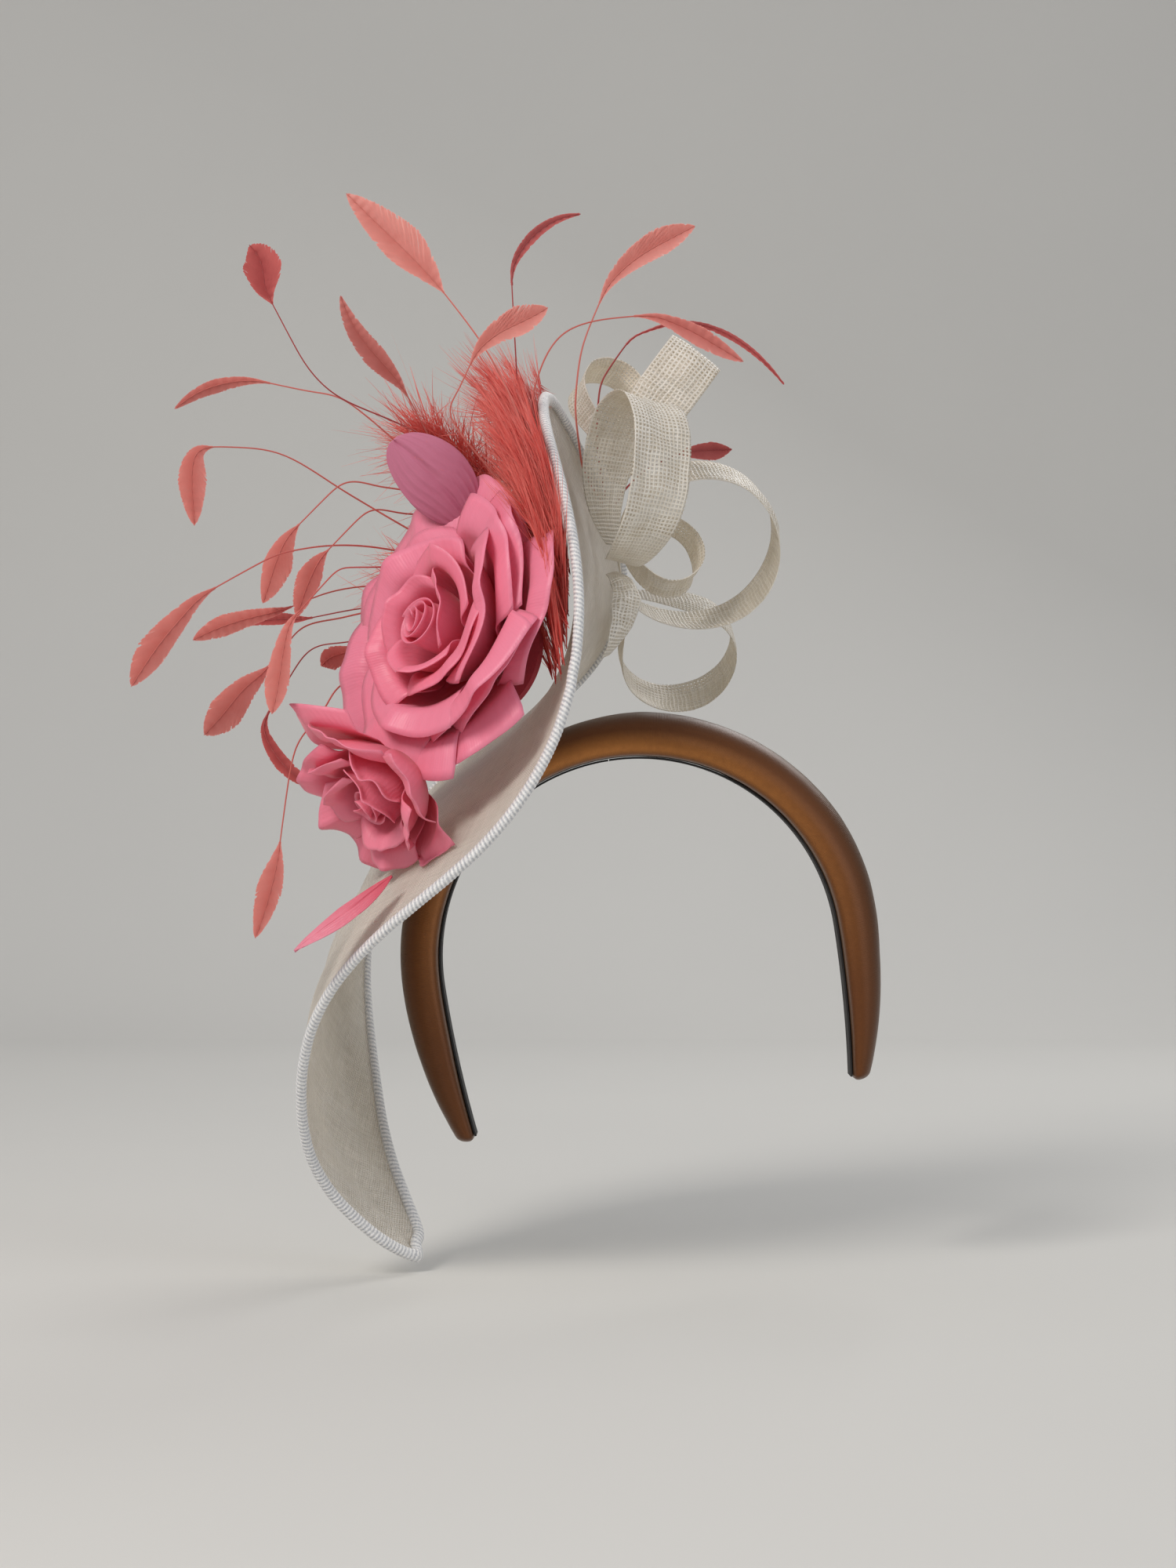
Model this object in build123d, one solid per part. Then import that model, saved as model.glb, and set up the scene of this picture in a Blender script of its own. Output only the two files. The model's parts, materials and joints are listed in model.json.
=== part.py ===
"""Fascinator headpiece: a padded satin headband that carries a swept sinamay brim, two silk roses,
sinamay loops, hackle plumes and stripped coque feathers on sprung quills.

Millimetres. The origin is the centre of the band's round inner face, +Z is up as worn, +X is the
wearer's left and -Y is the way the wearer faces. The brim sits on the -X side of the band.
"""

from build123d import *
from math import atan2, cos, pi, radians, sin
import os

# ---------------------------------------------------------------- driving dimensions
HEAD_RADIUS = 78.0          # round inner face of the band
BAND_ROLL = 9.0             # degrees the band leans towards the brim, as worn
LEG_RADIUS = 480.0          # the legs below the round part are almost straight
LEG_TURN = 7.8              # degrees that each leg curves inwards
ROUND_LENGTH = HEAD_RADIUS * pi / 2                             # from the crown down to the legs
HALF_LENGTH = ROUND_LENGTH + LEG_RADIUS * radians(LEG_TURN)     # from the crown to the end of a leg
FOAM_END = 0.86 * HALF_LENGTH                                   # the padding stops before the leg does
BAND_THICKNESS = 16.5       # padded height at the crown
BAND_HALF_WIDTH = 15.0
LINING_THICKNESS = 0.7
LINING_WIDTH = 13.0
COVER_WALL = 0.6
STRIP_THICKNESS = 1.5
STRIP_WIDTH = 11.0
FIT_GAP = 0.3
CROWN_SLIT = 0.4            # between the two halves at the strip
CROWN_NOTCH = 6.3           # degrees each half is cut back, so that the band can open

BRIM_CLOTH = 0.9            # two plies of stiffened sinamay, bonded
BRIM_CUP = 8.0              # how far the middle of the brim bulges
EDGE_WIRE_RADIUS = 0.8
BINDING_RADIUS = 2.1

RIBBON = 0.5                # sinamay loop strip
LOOP_END_GAP = 1.3          # from the stitched end of a loop to the middle of its two layers
PETAL = 0.5                 # stiffened silk
VANE = 0.6                  # trimmed vane, pressed flat
QUILL_RADIUS = 0.45

SHEET_TOLERANCE = 0.15      # how closely a smooth sheet follows its points
Y_AXIS = Vector(0, 1, 0)

# The brim's rim, clockwise seen from the front: top tip, front edge, tail tip, back edge.
RIM_FRONT = [(-37, 0, 221), (-35, -45, 198), (-24, -82, 140), (-30, -92, 91), (-56, -91, 48),
             (-95, -82, 14), (-121, -66, -18), (-129, -44, -58), (-116, -22, -95)]
TAIL_TIP = (-86, 0, -118)
RIM_BACK = [(-97, 20, -88), (-107, 38, -50), (-112, 54, -10), (-100, 70, 46), (-68, 82, 81),
            (-30, 88, 106), (-7, 82, 140), (-20, 46, 197)]

OUTER_PETAL_REACH = [54, 56, 57, 57, 46, 38, 50]     # the shorter ones make room for the small rose
LARGE_ROSE_BASE = Vector(-51, -41, 114)
LARGE_ROSE_AXIS = Vector(-0.72, -0.63, 0.28)
SMALL_ROSE_BASE = Vector(-93, -54, 68)
SMALL_ROSE_AXIS = Vector(-0.60, -0.50, -0.62)

FRONT_TIE = Vector(-38, -24, 141)    # where the front feathers are bound, behind the large rose
BACK_TIE = Vector(-12, 33, 178)      # where the feathers among the loops are bound
TIE_RADIUS = 5.2
ROOT_STEP = 0.85             # between the roots of neighbouring feathers, along the tie


# ---------------------------------------------------------------- shared helpers
def lerp(a, b, t):
    return a + (b - a) * t


def sheet(rows, thickness):
    """A closed smooth sheet of even thickness near a grid of points."""
    points = [[Vector(p) for p in row] for row in rows]
    last_row, last_column = len(points) - 1, len(points[0]) - 1

    def normal(i, j):
        along = points[min(i + 1, last_row)][j] - points[max(i - 1, 0)][j]
        across = points[i][min(j + 1, last_column)] - points[i][max(j - 1, 0)]
        return along.cross(across).normalized()

    skins = []
    for side in (0.5, -0.5):
        grid = [
            [p + normal(i, j) * (side * thickness) for j, p in enumerate(row)]
            for i, row in enumerate(points)
        ]
        skins.append(Face.make_surface_from_array_of_points(grid, tol=SHEET_TOLERANCE, min_deg=3, max_deg=3))
    walls = []
    for edge in skins[0].edges():
        partner = min(skins[1].edges(), key=lambda e: (e @ 0.5 - edge @ 0.5).length)
        walls.append(Face.make_surface_from_curves(edge, partner))
    return Solid(Shell(skins + walls))


def skin(rings, closed):
    """A solid whose skin runs in flat-sided lengths through a row of polygons."""
    faces = []
    count = len(rings)
    sides = len(rings[0])
    for i in range(count if closed else count - 1):
        ring, following = rings[i], rings[(i + 1) % count]
        for k in range(sides):
            m = (k + 1) % sides
            near, far = Edge.make_line(ring[k], ring[m]), Edge.make_line(following[k], following[m])
            faces.append(Face.make_surface_from_curves(near, far))
    if not closed:
        faces += [Face(Wire.make_polygon(ring, close=True)) for ring in (rings[0], rings[-1])]
    solid = Solid(Shell(faces))
    if solid.volume < 0:
        solid = skin([ring[::-1] for ring in rings], closed)
    return solid


def ring_tube(path, radius, stations, sides=8):
    """A closed ring of tube around a closed path."""
    rings = []
    for i in range(stations):
        centre = path @ (i / stations)
        level, upright = square_to(path % (i / stations))
        turns = [2 * pi * k / sides for k in range(sides)]
        rings.append([centre + level * (radius * cos(a)) + upright * (radius * sin(a)) for a in turns])
    return skin(rings, closed=True)


def square_to(axis):
    """Two unit vectors square to an axis: one level, one pointing upwards."""
    level = Vector(0, 0, 1).cross(axis).normalized()
    return level, axis.cross(level).normalized()


def save(name, *solids):
    shape = solids[0] if len(solids) == 1 else Compound(children=list(solids))
    export_step(shape, os.path.join("parts", name + ".step"))


# ---------------------------------------------------------------- padded headband
def band_station(s, side):
    """Point, tangent and outward direction on the band's inner face, at length s from the crown."""
    if s <= ROUND_LENGTH:
        angle = s / HEAD_RADIUS
        x, z = HEAD_RADIUS * sin(angle), HEAD_RADIUS * cos(angle)
    else:
        turn = (s - ROUND_LENGTH) / LEG_RADIUS
        angle = pi / 2 + turn
        x = HEAD_RADIUS - LEG_RADIUS * (1 - cos(turn))
        z = -LEG_RADIUS * sin(turn)
    tangent = Vector(side * cos(angle), 0, -sin(angle))
    outward = Vector(side * sin(angle), 0, cos(angle))
    return Vector(side * x, 0, z), tangent, outward


def padding_size(s):
    """Padded height and half width at length s from the crown: full over the head, slim at the end."""
    share = s / HALF_LENGTH
    slim = max(0.0, (share - 0.62) / 0.38)
    height = BAND_THICKNESS * (1 - 0.62 * slim**2.2)
    half_width = BAND_HALF_WIDTH * (1 - 0.40 * slim**2.0)
    return height, half_width


def band_section(s, side, inset, low):
    """A D-shaped section of the padding, shrunk by inset, standing low above the inner face."""
    origin, tangent, _ = band_station(s, side)
    height, half_width = padding_size(s)
    top, half = height - inset, half_width - inset
    plane = Plane(origin=origin, x_dir=Y_AXIS * side, z_dir=tangent)
    floor = Line((-half * 0.86, low), (half * 0.86, low))
    crown = Spline(
        (half * 0.86, low), (half, lerp(low, top, 0.35)), (half * 0.72, lerp(low, top, 0.80)),
        (0, top), (-half * 0.72, lerp(low, top, 0.80)), (-half, lerp(low, top, 0.35)),
        (-half * 0.86, low),
    )
    return plane * make_face(Wire([floor, crown]))


def crown_cut(side):
    """The space beyond the crown, which keeps each half clear of the other as the band opens."""
    block = Box(60, 80, 60, align=(Align.MAX, Align.CENTER, Align.CENTER))
    pivot = HEAD_RADIUS + LINING_THICKNESS + COVER_WALL + STRIP_THICKNESS / 2
    upper = Pos(CROWN_SLIT / 2, 0, pivot) * Rot(0, CROWN_NOTCH, 0) * block
    lower = Pos(CROWN_SLIT / 2, 0, pivot) * block
    cut = upper + lower
    return cut if side > 0 else mirror(cut, about=Plane.YZ)


def band_strip(side, width, low, high, end):
    """A flat strip that follows the band's inner face from the crown to length end."""
    sections = []
    steps = 14
    for i in range(steps + 1):
        origin, tangent, _ = band_station(end * i / steps, side)
        plane = Plane(origin=origin, x_dir=Y_AXIS * side, z_dir=tangent)
        sections.append(plane * Pos(0, (low + high) / 2) * Rectangle(width, high - low))
    return loft(sections).solid()


def exact_lining(side):
    """The lining: a true cylinder over the head, then straight on down the leg."""
    ring = Cylinder(HEAD_RADIUS + LINING_THICKNESS, LINING_WIDTH) - Cylinder(HEAD_RADIUS, LINING_WIDTH)
    quarter = Pos(side * 100, 0, 100) * Box(200, LINING_WIDTH * 2, 200)
    arc = (Rot(90, 0, 0) * ring) & quarter
    sections = []
    for i in range(7):
        s = ROUND_LENGTH + (HALF_LENGTH - 6 - ROUND_LENGTH) * i / 6
        origin, tangent, _ = band_station(s, side)
        plane = Plane(origin=origin, x_dir=Y_AXIS * side, z_dir=tangent)
        sections.append(plane * Pos(0, LINING_THICKNESS / 2) * Rectangle(LINING_WIDTH, LINING_THICKNESS))
    leg = loft(sections)
    return (arc + leg).solid()


def band_half(side):
    """Lining, spring strip, foam and cover of one half of the band, before it is rolled."""
    stations = [HALF_LENGTH * k / 10 for k in range(11)]
    cover_floor = LINING_THICKNESS + FIT_GAP
    strip_floor = cover_floor + COVER_WALL + FIT_GAP
    strip_top = strip_floor + STRIP_THICKNESS
    foam_floor = strip_top + 2 * FIT_GAP
    outer = loft([band_section(s, side, 0, cover_floor) for s in stations])
    hollow_stations = stations[:-1] + [HALF_LENGTH - 1.5]
    hollow = loft([
        band_section(s, side, COVER_WALL, cover_floor + COVER_WALL) for s in hollow_stations
    ])
    foam_stations = [s * FOAM_END / HALF_LENGTH for s in stations]
    foam = loft([
        band_section(s, side, COVER_WALL + 4 * FIT_GAP, foam_floor) for s in foam_stations
    ])
    strip = band_strip(side, STRIP_WIDTH, strip_floor, strip_top, HALF_LENGTH - 8)
    cut = crown_cut(side)
    lean = Rot(0, -BAND_ROLL, 0)
    return {
        "satin_cover": lean * ((outer - hollow) - cut).solid(),
        "foam_pad": lean * (foam - cut).solid(),
        "spring_strip": lean * (strip - cut).solid(),
        "lining_ribbon": lean * (exact_lining(side) - cut).solid(),
    }


# ---------------------------------------------------------------- sinamay brim
RIM = Spline(*RIM_FRONT, TAIL_TIP, *RIM_BACK, periodic=True)
TAIL_AT = RIM.param_at_point(Vector(TAIL_TIP))


def brim_point(t, w):
    """A point on the brim. t runs from the top tip to the tail tip, w from the back rim (-1) to the
    front rim (1)."""
    front, back = RIM @ (TAIL_AT * t), RIM @ (1 - (1 - TAIL_AT) * t)
    bulge = BRIM_CUP * sin(pi * t) ** 0.6 * (1 - w * w)
    return lerp(back, front, (w + 1) / 2) + brim_out(t) * bulge


def brim_out(t):
    """The direction the brim's flower side faces at t."""
    step = 0.02
    a, b = max(t - step, 0.0), min(t + step, 1.0)

    def middle(s):
        return (RIM @ (TAIL_AT * s) + RIM @ (1 - (1 - TAIL_AT) * s)) * 0.5

    across = RIM @ (TAIL_AT * t) - RIM @ (1 - (1 - TAIL_AT) * t)
    return (middle(b) - middle(a)).cross(across).normalized()


def brim_cloth(inset):
    """The brim's cloth, its edge inset from the rim."""
    rows = []
    ends, steps = 0.03, 20
    for i in range(steps + 1):
        t = lerp(ends, 1 - ends, (1 - cos(pi * i / steps)) / 2)
        front, back = RIM @ (TAIL_AT * t), RIM @ (1 - (1 - TAIL_AT) * t)
        across = front - back
        slope = across.normalized().cross(RIM % (TAIL_AT * t)).length
        reach = max(0.25, 1 - inset / (across.length / 2 * max(slope, 0.2)))
        rows.append([brim_point(t, reach * w / 3) for w in range(-3, 4)])
    return sheet(rows, BRIM_CLOTH)


def build_brim():
    binding = ring_tube(RIM, BINDING_RADIUS, 56) - ring_tube(RIM, EDGE_WIRE_RADIUS + FIT_GAP, 56)
    save("brim_cloth", brim_cloth(BINDING_RADIUS + 2.0))
    save("brim_edge_wire", ring_tube(RIM, EDGE_WIRE_RADIUS, 56))
    save("brim_edge_binding", binding.solid())


# ---------------------------------------------------------------- sinamay loops
def ribbon(points, width_direction, widths, thickness=RIBBON, rows=20):
    """A strip along a spline through points, its width lying along one direction."""
    path = Spline(*points)
    grid = []
    for i in range(rows + 1):
        t = i / rows
        place = t * (len(widths) - 1)
        k = min(int(place), len(widths) - 2)
        half = lerp(widths[k], widths[k + 1], place - k) / 2
        grid.append([path @ t + width_direction * (half * j / 2) for j in range(-2, 3)])
    return sheet(grid, thickness)


def sinamay_loop(centre, axis, long_direction, long_radius, short_radius, width, anchor):
    """A teardrop loop: an oval round centre whose two ends are gathered at the anchor."""
    axis = axis.normalized()
    up = (long_direction - axis * long_direction.dot(axis)).normalized()
    right = up.cross(axis).normalized()
    to_anchor = anchor - centre
    to_anchor -= axis * to_anchor.dot(axis)
    start = atan2(to_anchor.dot(right), to_anchor.dot(up))
    oval = []
    for k in range(8):
        angle = start + radians(48) + (2 * pi - radians(96)) * k / 7
        oval.append(centre + up * (long_radius * cos(angle)) + right * (short_radius * sin(angle)))
    aside = (oval[0] - oval[-1]).normalized() * LOOP_END_GAP
    points = [anchor + aside, *oval, anchor - aside]
    widths = [width * 0.3, width * 0.75, width, width, width, width, width * 0.75, width * 0.3]
    return ribbon(points, axis, widths)


def build_loops():
    up = Vector(0, 0, 1)
    loops = {
        "front_loop": ((-3, -17, 187), (-0.80, -0.55, 0.15), up, 32, 19, 27, (-9, -2, 160)),
        "upright_loop": ((8, 21, 221), (0.78, 0.05, -0.58), (0.6, 0, 0.8), 26, 10, 24, (-9, 20, 188)),
        "top_loop": ((-12, 54, 227), (0.36, -0.80, 0.45), up, 15, 14, 18, (-12, 46, 199)),
        "right_loop": ((24, 27, 164), (0.12, -0.88, -0.46), up, 33, 32, 21, (-5, 16, 146)),
        "lower_loop": ((17, 73, 124), (0.10, -0.80, -0.58), up, 24, 24, 20, (-2, 54, 146)),
        "middle_loop": ((11, 27, 160), (0.25, -0.85, 0.42), up, 15, 14, 15, (-8, 28, 164)),
    }
    for name, (centre, axis, long_way, a, b, width, anchor) in loops.items():
        save(name, sinamay_loop(Vector(centre), Vector(axis), Vector(long_way), a, b, width, Vector(anchor)))
    tail = ribbon([(-12, -16, 150), (-7, -28, 144), (-6, -38, 134), (-14, -46, 116)],
                  Vector(0.55, 0.60, 0.25).normalized(), [5, 12, 18, 14, 4], rows=12)
    save("ribbon_tail", tail)


# ---------------------------------------------------------------- silk roses
def rose_frame(base, axis, radius, angle, height):
    """A point of a rose in cylindrical terms about its axis."""
    level, upright = square_to(axis)
    return base + level * (radius * cos(angle)) + upright * (radius * sin(angle)) + axis * height


def petal(base, axis, turn, half_angle, foot, belly, lip, rows=5, columns=4):
    """A cupped petal. foot, belly and lip are (radius, height) about the rose's axis."""
    grid = []
    for i in range(rows + 1):
        v = i / rows
        line = []
        for j in range(columns + 1):
            u = 2 * j / columns - 1
            reach = v * (1 - 0.10 * abs(u) ** 3)
            q = 1 - reach
            radius = foot[0] * q * q + 2 * belly[0] * q * reach + lip[0] * reach * reach
            height = foot[1] * q * q + 2 * belly[1] * q * reach + lip[1] * reach * reach
            spread = half_angle * (0.80 + 0.20 * sin(pi * min(v * 1.1, 1.0))) * (1 - 0.22 * v**5)
            line.append(rose_frame(base, axis, radius, turn + u * spread, height))
        grid.append(line)
    return sheet(grid, PETAL)


def petal_ring(base, axis, count, first_turn, foot, belly, lip, gap=radians(5)):
    half = pi / count - gap / 2
    return [
        petal(base, axis, first_turn + 2 * pi * k / count, half, foot, belly, lip)
        for k in range(count)
    ]


def rolled_bud(base, axis, inner, outer, low, high, turns):
    """The heart of a rose: one strip of silk rolled into a cone."""
    grid = []
    steps = int(turns * 10)
    for i in range(steps + 1):
        share = i / steps
        angle = share * turns * 2 * pi
        radius = lerp(inner, outer, share)
        line = []
        for j in range(5):
            v = j / 4
            bulge = 0.75 + 0.45 * sin(pi * (0.15 + 0.6 * v))
            line.append(rose_frame(base, axis, radius * bulge, angle, lerp(low, high - 3 * share, v)))
        grid.append(line)
    return sheet(grid, PETAL)


def rose_backing(base, axis, radius, thickness=2.0):
    plane = Plane(origin=base, z_dir=axis)
    return (plane * Pos(0, 0, thickness / 2) * Cylinder(radius, thickness)).solid()


def build_roses():
    base, axis = LARGE_ROSE_BASE, LARGE_ROSE_AXIS.normalized()
    save("large_rose_bud", rolled_bud(base, axis, 2.2, 8.0, 4, 38, 2.2))
    save("large_rose_inner_petals", *petal_ring(base, axis, 4, 0.3, (11.5, 4), (18, 22), (18.5, 37)))
    save("large_rose_middle_petals", *petal_ring(base, axis, 5, 0.9, (14.5, 4), (28, 14), (35, 33)))
    outer = []
    for k, reach in enumerate(OUTER_PETAL_REACH):
        turn = 0.2 + 2 * pi * k / len(OUTER_PETAL_REACH)
        half = pi / len(OUTER_PETAL_REACH) - radians(2.5)
        outer.append(petal(base, axis, turn, half, (18, 3), (reach * 0.72, 4), (reach, 24)))
    save("large_rose_outer_petals", *outer)
    save("large_rose_backing", rose_backing(base, axis, 20))

    base, axis = SMALL_ROSE_BASE, SMALL_ROSE_AXIS.normalized()
    save("small_rose_bud", rolled_bud(base, axis, 1.8, 5.5, 4, 26, 1.6))
    save("small_rose_inner_petals", *petal_ring(base, axis, 3, 0.5, (8.5, 3), (14, 14), (14, 28)))
    save("small_rose_outer_petals", *petal_ring(base, axis, 5, 0.1, (11, 3), (20, 10), (26, 26)))
    save("small_rose_backing", rose_backing(base, axis, 11))


def leaf(points, face_direction, half_width, widest, thickness=PETAL, rows=16):
    """A pointed or rounded silk leaf along a spline."""
    path = Spline(*points)
    grid = []
    for i in range(rows + 1):
        t = i / rows
        swell = sin(pi * min(1.0, max(0.0, t ** (0.7 / widest if widest < 0.5 else 1.4 * widest))))
        half = max(0.5, half_width * swell**0.8)
        across = (path % t).cross(face_direction).normalized()
        grid.append([path @ t + across * (half * j / 3) for j in range(-3, 4)])
    return sheet(grid, thickness)


def build_leaves():
    save("upper_silk_leaf", leaf([(-66, -41, 168), (-78, -42, 184), (-94, -42, 199)],
                                 Vector(-0.3, -0.9, 0.3), 13, 0.5))
    save("lower_silk_leaf", leaf([(-93, -76, 34), (-110, -82, 21), (-127, -86, 7)],
                                 Vector(-0.5, -0.6, 0.6), 5, 0.5))


# ---------------------------------------------------------------- hackle plumes
def plume(points, face_direction, half_widths, thickness=3.0, rows=12):
    """The space that a fluffy plume fills, as a flat soft pad."""
    path = Spline(*points)
    grid = []
    for i in range(rows + 1):
        t = i / rows
        place = t * (len(half_widths) - 1)
        k = min(int(place), len(half_widths) - 2)
        half = lerp(half_widths[k], half_widths[k + 1], place - k)
        across = (path % t).cross(face_direction).normalized()
        grid.append([path @ t + across * (half * j / 2) for j in range(-2, 3)])
    return sheet(grid, thickness)


def build_plumes():
    outward = Vector(-0.95, -0.25, 0.1)
    save("rim_plume", plume([(-36, -48, 146), (-36, -50, 165), (-38, -50, 186), (-42, -46, 206)],
                            outward, [4, 8, 9, 5]))
    save("upper_plume", plume([(-40, -2, 152), (-52, -4, 172), (-68, -10, 190), (-84, -15, 200)],
                              Vector(-0.8, -0.5, -0.3), [5, 9, 9, 5]))
    save("left_plume", plume([(-38, -4, 128), (-60, 10, 138), (-80, 20, 146), (-98, 24, 152)],
                             Vector(-0.5, -0.85, 0.1), [6, 15, 17, 9]))


# ---------------------------------------------------------------- stripped feathers
# name: (quill points after the tie, vane tip points, vane half width, widest share, turn in degrees)
FRONT_FEATHERS = {
    "feather_01": ([(-82, -23, 202), (-125, -38, 223), (-142, -40, 253)], [(-148, -42, 274)], 9, 0.68, 0),
    "feather_02": ([(-53, -40, 222), (-77, -35, 258)], [(-97, -30, 279), (-115, -26, 297)], 10, 0.45, 10),
    "feather_03": ([(-82, -33, 203), (-90, -42, 218)], [(-104, -54, 233), (-113, -62, 252)], 6, 0.50, 15),
    "feather_04": ([(-84, -12, 190), (-117, -22, 218), (-148, -18, 225)], [(-168, -18, 222), (-182, -20, 212)],
                   3.5, 0.50, 50),
    "feather_05": ([(-98, -14, 172), (-130, -26, 190), (-157, -40, 201), (-168, -44, 197)],
                   [(-171, -45, 182), (-169, -44, 164)], 7, 0.35, 0),
    "feather_06": ([(-100, -5, 161), (-131, -40, 157), (-149, -62, 149), (-162, -70, 139)],
                   [(-178, -77, 118), (-189, -80, 102)], 7, 0.70, 15),
    "feather_07": ([(-90, -18, 182), (-117, -24, 184), (-134, -28, 166)], [(-141, -30, 152), (-145, -30, 136)],
                   7, 0.55, 0),
    "feather_08": ([(-92, -14, 175), (-112, -28, 170), (-122, -33, 156)], [(-128, -34, 144), (-132, -34, 130)],
                   6, 0.45, 10),
    "feather_09": ([(-90, 14, 148), (-116, 8, 146), (-136, -20, 136)], [(-155, -26, 131), (-174, -30, 122)],
                   5, 0.60, 20),
    "feather_10": ([(-88, 5, 137), (-110, 8, 138), (-131, 14, 134)], [(-146, 16, 134), (-161, 16, 131)],
                   3, 0.50, 50),
    "feather_11": ([(-95, -10, 152), (-120, -50, 146), (-131, -62, 130)], [(-134, -70, 111), (-137, -76, 92)],
                   6, 0.60, 0),
    "feather_12": ([(-96, -5, 136), (-126, 0, 134), (-143, -34, 112)], [(-156, -42, 99), (-166, -46, 85)],
                   8, 0.60, 10),
    "feather_13": ([(-90, 12, 127), (-122, 20, 127), (-150, 6, 94)], [(-142, 0, 76), (-120, -6, 66)],
                   4, 0.50, 30),
    "feather_14": ([(-84, 2, 122), (-118, -16, 106), (-132, -48, 78), (-134, -74, 44)],
                   [(-137, -78, 27), (-143, -80, 10)], 6, 0.40, 0),
    "feather_15": ([(-84, 0, 130), (-112, 2, 122)], [(-119, -1, 118), (-126, -6, 115)], 6, 0.60, 20),
    "feather_16": ([(-47, -14, 202), (-48, -18, 232), (-51, -16, 266)], [(-41, -11, 284), (-23, -4, 292)],
                   3, 0.45, 35),
    "feather_17": ([(-60, -37, 190), (-74, -42, 214), (-64, -48, 230)], [(-50, -51, 240), (-34, -54, 247)],
                   7, 0.60, 0),
    "feather_18": ([(-43, -27, 212), (-29, -25, 243), (2, -22, 250)], [(22, -18, 243), (42, -14, 231)],
                   5, 0.55, 10),
}
BACK_FEATHERS = {
    "feather_19": ([(-25, 8, 205), (-24, 8, 234), (-15, 10, 263)], [(4, 9, 281), (24, 6, 290)], 7, 0.65, 0),
    "feather_20": ([(-17, 36, 216), (-8, 38, 246), (20, 37, 257)], [(42, 36, 248), (60, 34, 230)],
                   2, 0.40, 50),
    "feather_21": ([(-2, 42, 192), (15, 46, 203)], [(27, 50, 206), (40, 52, 206)], 5, 0.65, 10),
}


def feather(root, quill_points, vane_points, half_width, widest, turn):
    """A stripped quill with a trimmed vane at its end, as one piece."""
    path = Spline(root, *quill_points, *vane_points)
    vane_start = path.param_at_point(Vector(quill_points[-1]))
    face = Vector(sin(radians(turn)), -cos(radians(turn)), 0)
    stations = [(vane_start * k / 4, QUILL_RADIUS, 2 * QUILL_RADIUS) for k in range(5)]
    for v in (0.15, 0.40, 0.65, 0.85, 0.99):
        swell = sin(pi / 2 * min(1.0, v / widest, (1 - v) / (1 - widest))) ** 0.9
        stations.append((lerp(vane_start, 1, v), max(QUILL_RADIUS, half_width * swell), VANE))
    rings = []
    for t, half, depth in stations:
        across = (path % t).cross(face).normalized()
        through = across.cross(path % t).normalized() * (depth / 2)
        side = across * half
        corners = (side + through, through - side, -side - through, side - through)
        rings.append([path @ t + corner for corner in corners])
    return skin(rings, closed=False)


def feather_roots(feathers, tie, axis):
    """Each quill leaves the tie in its own direction, so the roots stand round it without touching."""
    level, upright = square_to(axis)
    roots = {}
    by_depth = sorted(feathers, key=lambda name: (Vector(feathers[name][0][0]) - tie).dot(axis))
    for index, name in enumerate(by_depth):
        aim = Vector(feathers[name][0][0]) - tie
        angle = atan2(aim.dot(upright), aim.dot(level))
        lift = (index - (len(by_depth) - 1) / 2) * ROOT_STEP
        roots[name] = tie + (level * cos(angle) + upright * sin(angle)) * TIE_RADIUS + axis * lift
    return roots


def build_feathers():
    rose_axis = LARGE_ROSE_AXIS.normalized()
    back_axis = Vector(0.5, -0.85, 0.1).normalized()
    for feathers, tie, axis in ((FRONT_FEATHERS, FRONT_TIE, rose_axis), (BACK_FEATHERS, BACK_TIE, back_axis)):
        roots = feather_roots(feathers, tie, axis)
        for name, spec in feathers.items():
            save(name, feather(roots[name], *spec))
    ties = [
        (Plane(origin=tie, z_dir=axis) * Cylinder(TIE_RADIUS - 1.0, len(feathers) * ROOT_STEP + 2)).solid()
        for feathers, tie, axis in (
            (FRONT_FEATHERS, FRONT_TIE, rose_axis), (BACK_FEATHERS, BACK_TIE, back_axis)
        )
    ]
    save("feather_ties", *ties)


def build_band():
    for side, word in ((-1, "left"), (1, "right")):
        for name, solid in band_half(side).items():
            save(f"{name}_{word}", solid)


os.makedirs("parts", exist_ok=True)
build_band()
build_brim()
build_loops()
build_roses()
build_leaves()
build_plumes()
build_feathers()
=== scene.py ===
"""Looks for the fascinator headpiece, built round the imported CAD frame. Metres throughout."""

import heapq
import json
import math

import bpy
import numpy as np
from numpy.linalg import norm
from mathutils import Matrix, Vector, noise
from mathutils.bvhtree import BVHTree
from mathutils.kdtree import KDTree


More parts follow.
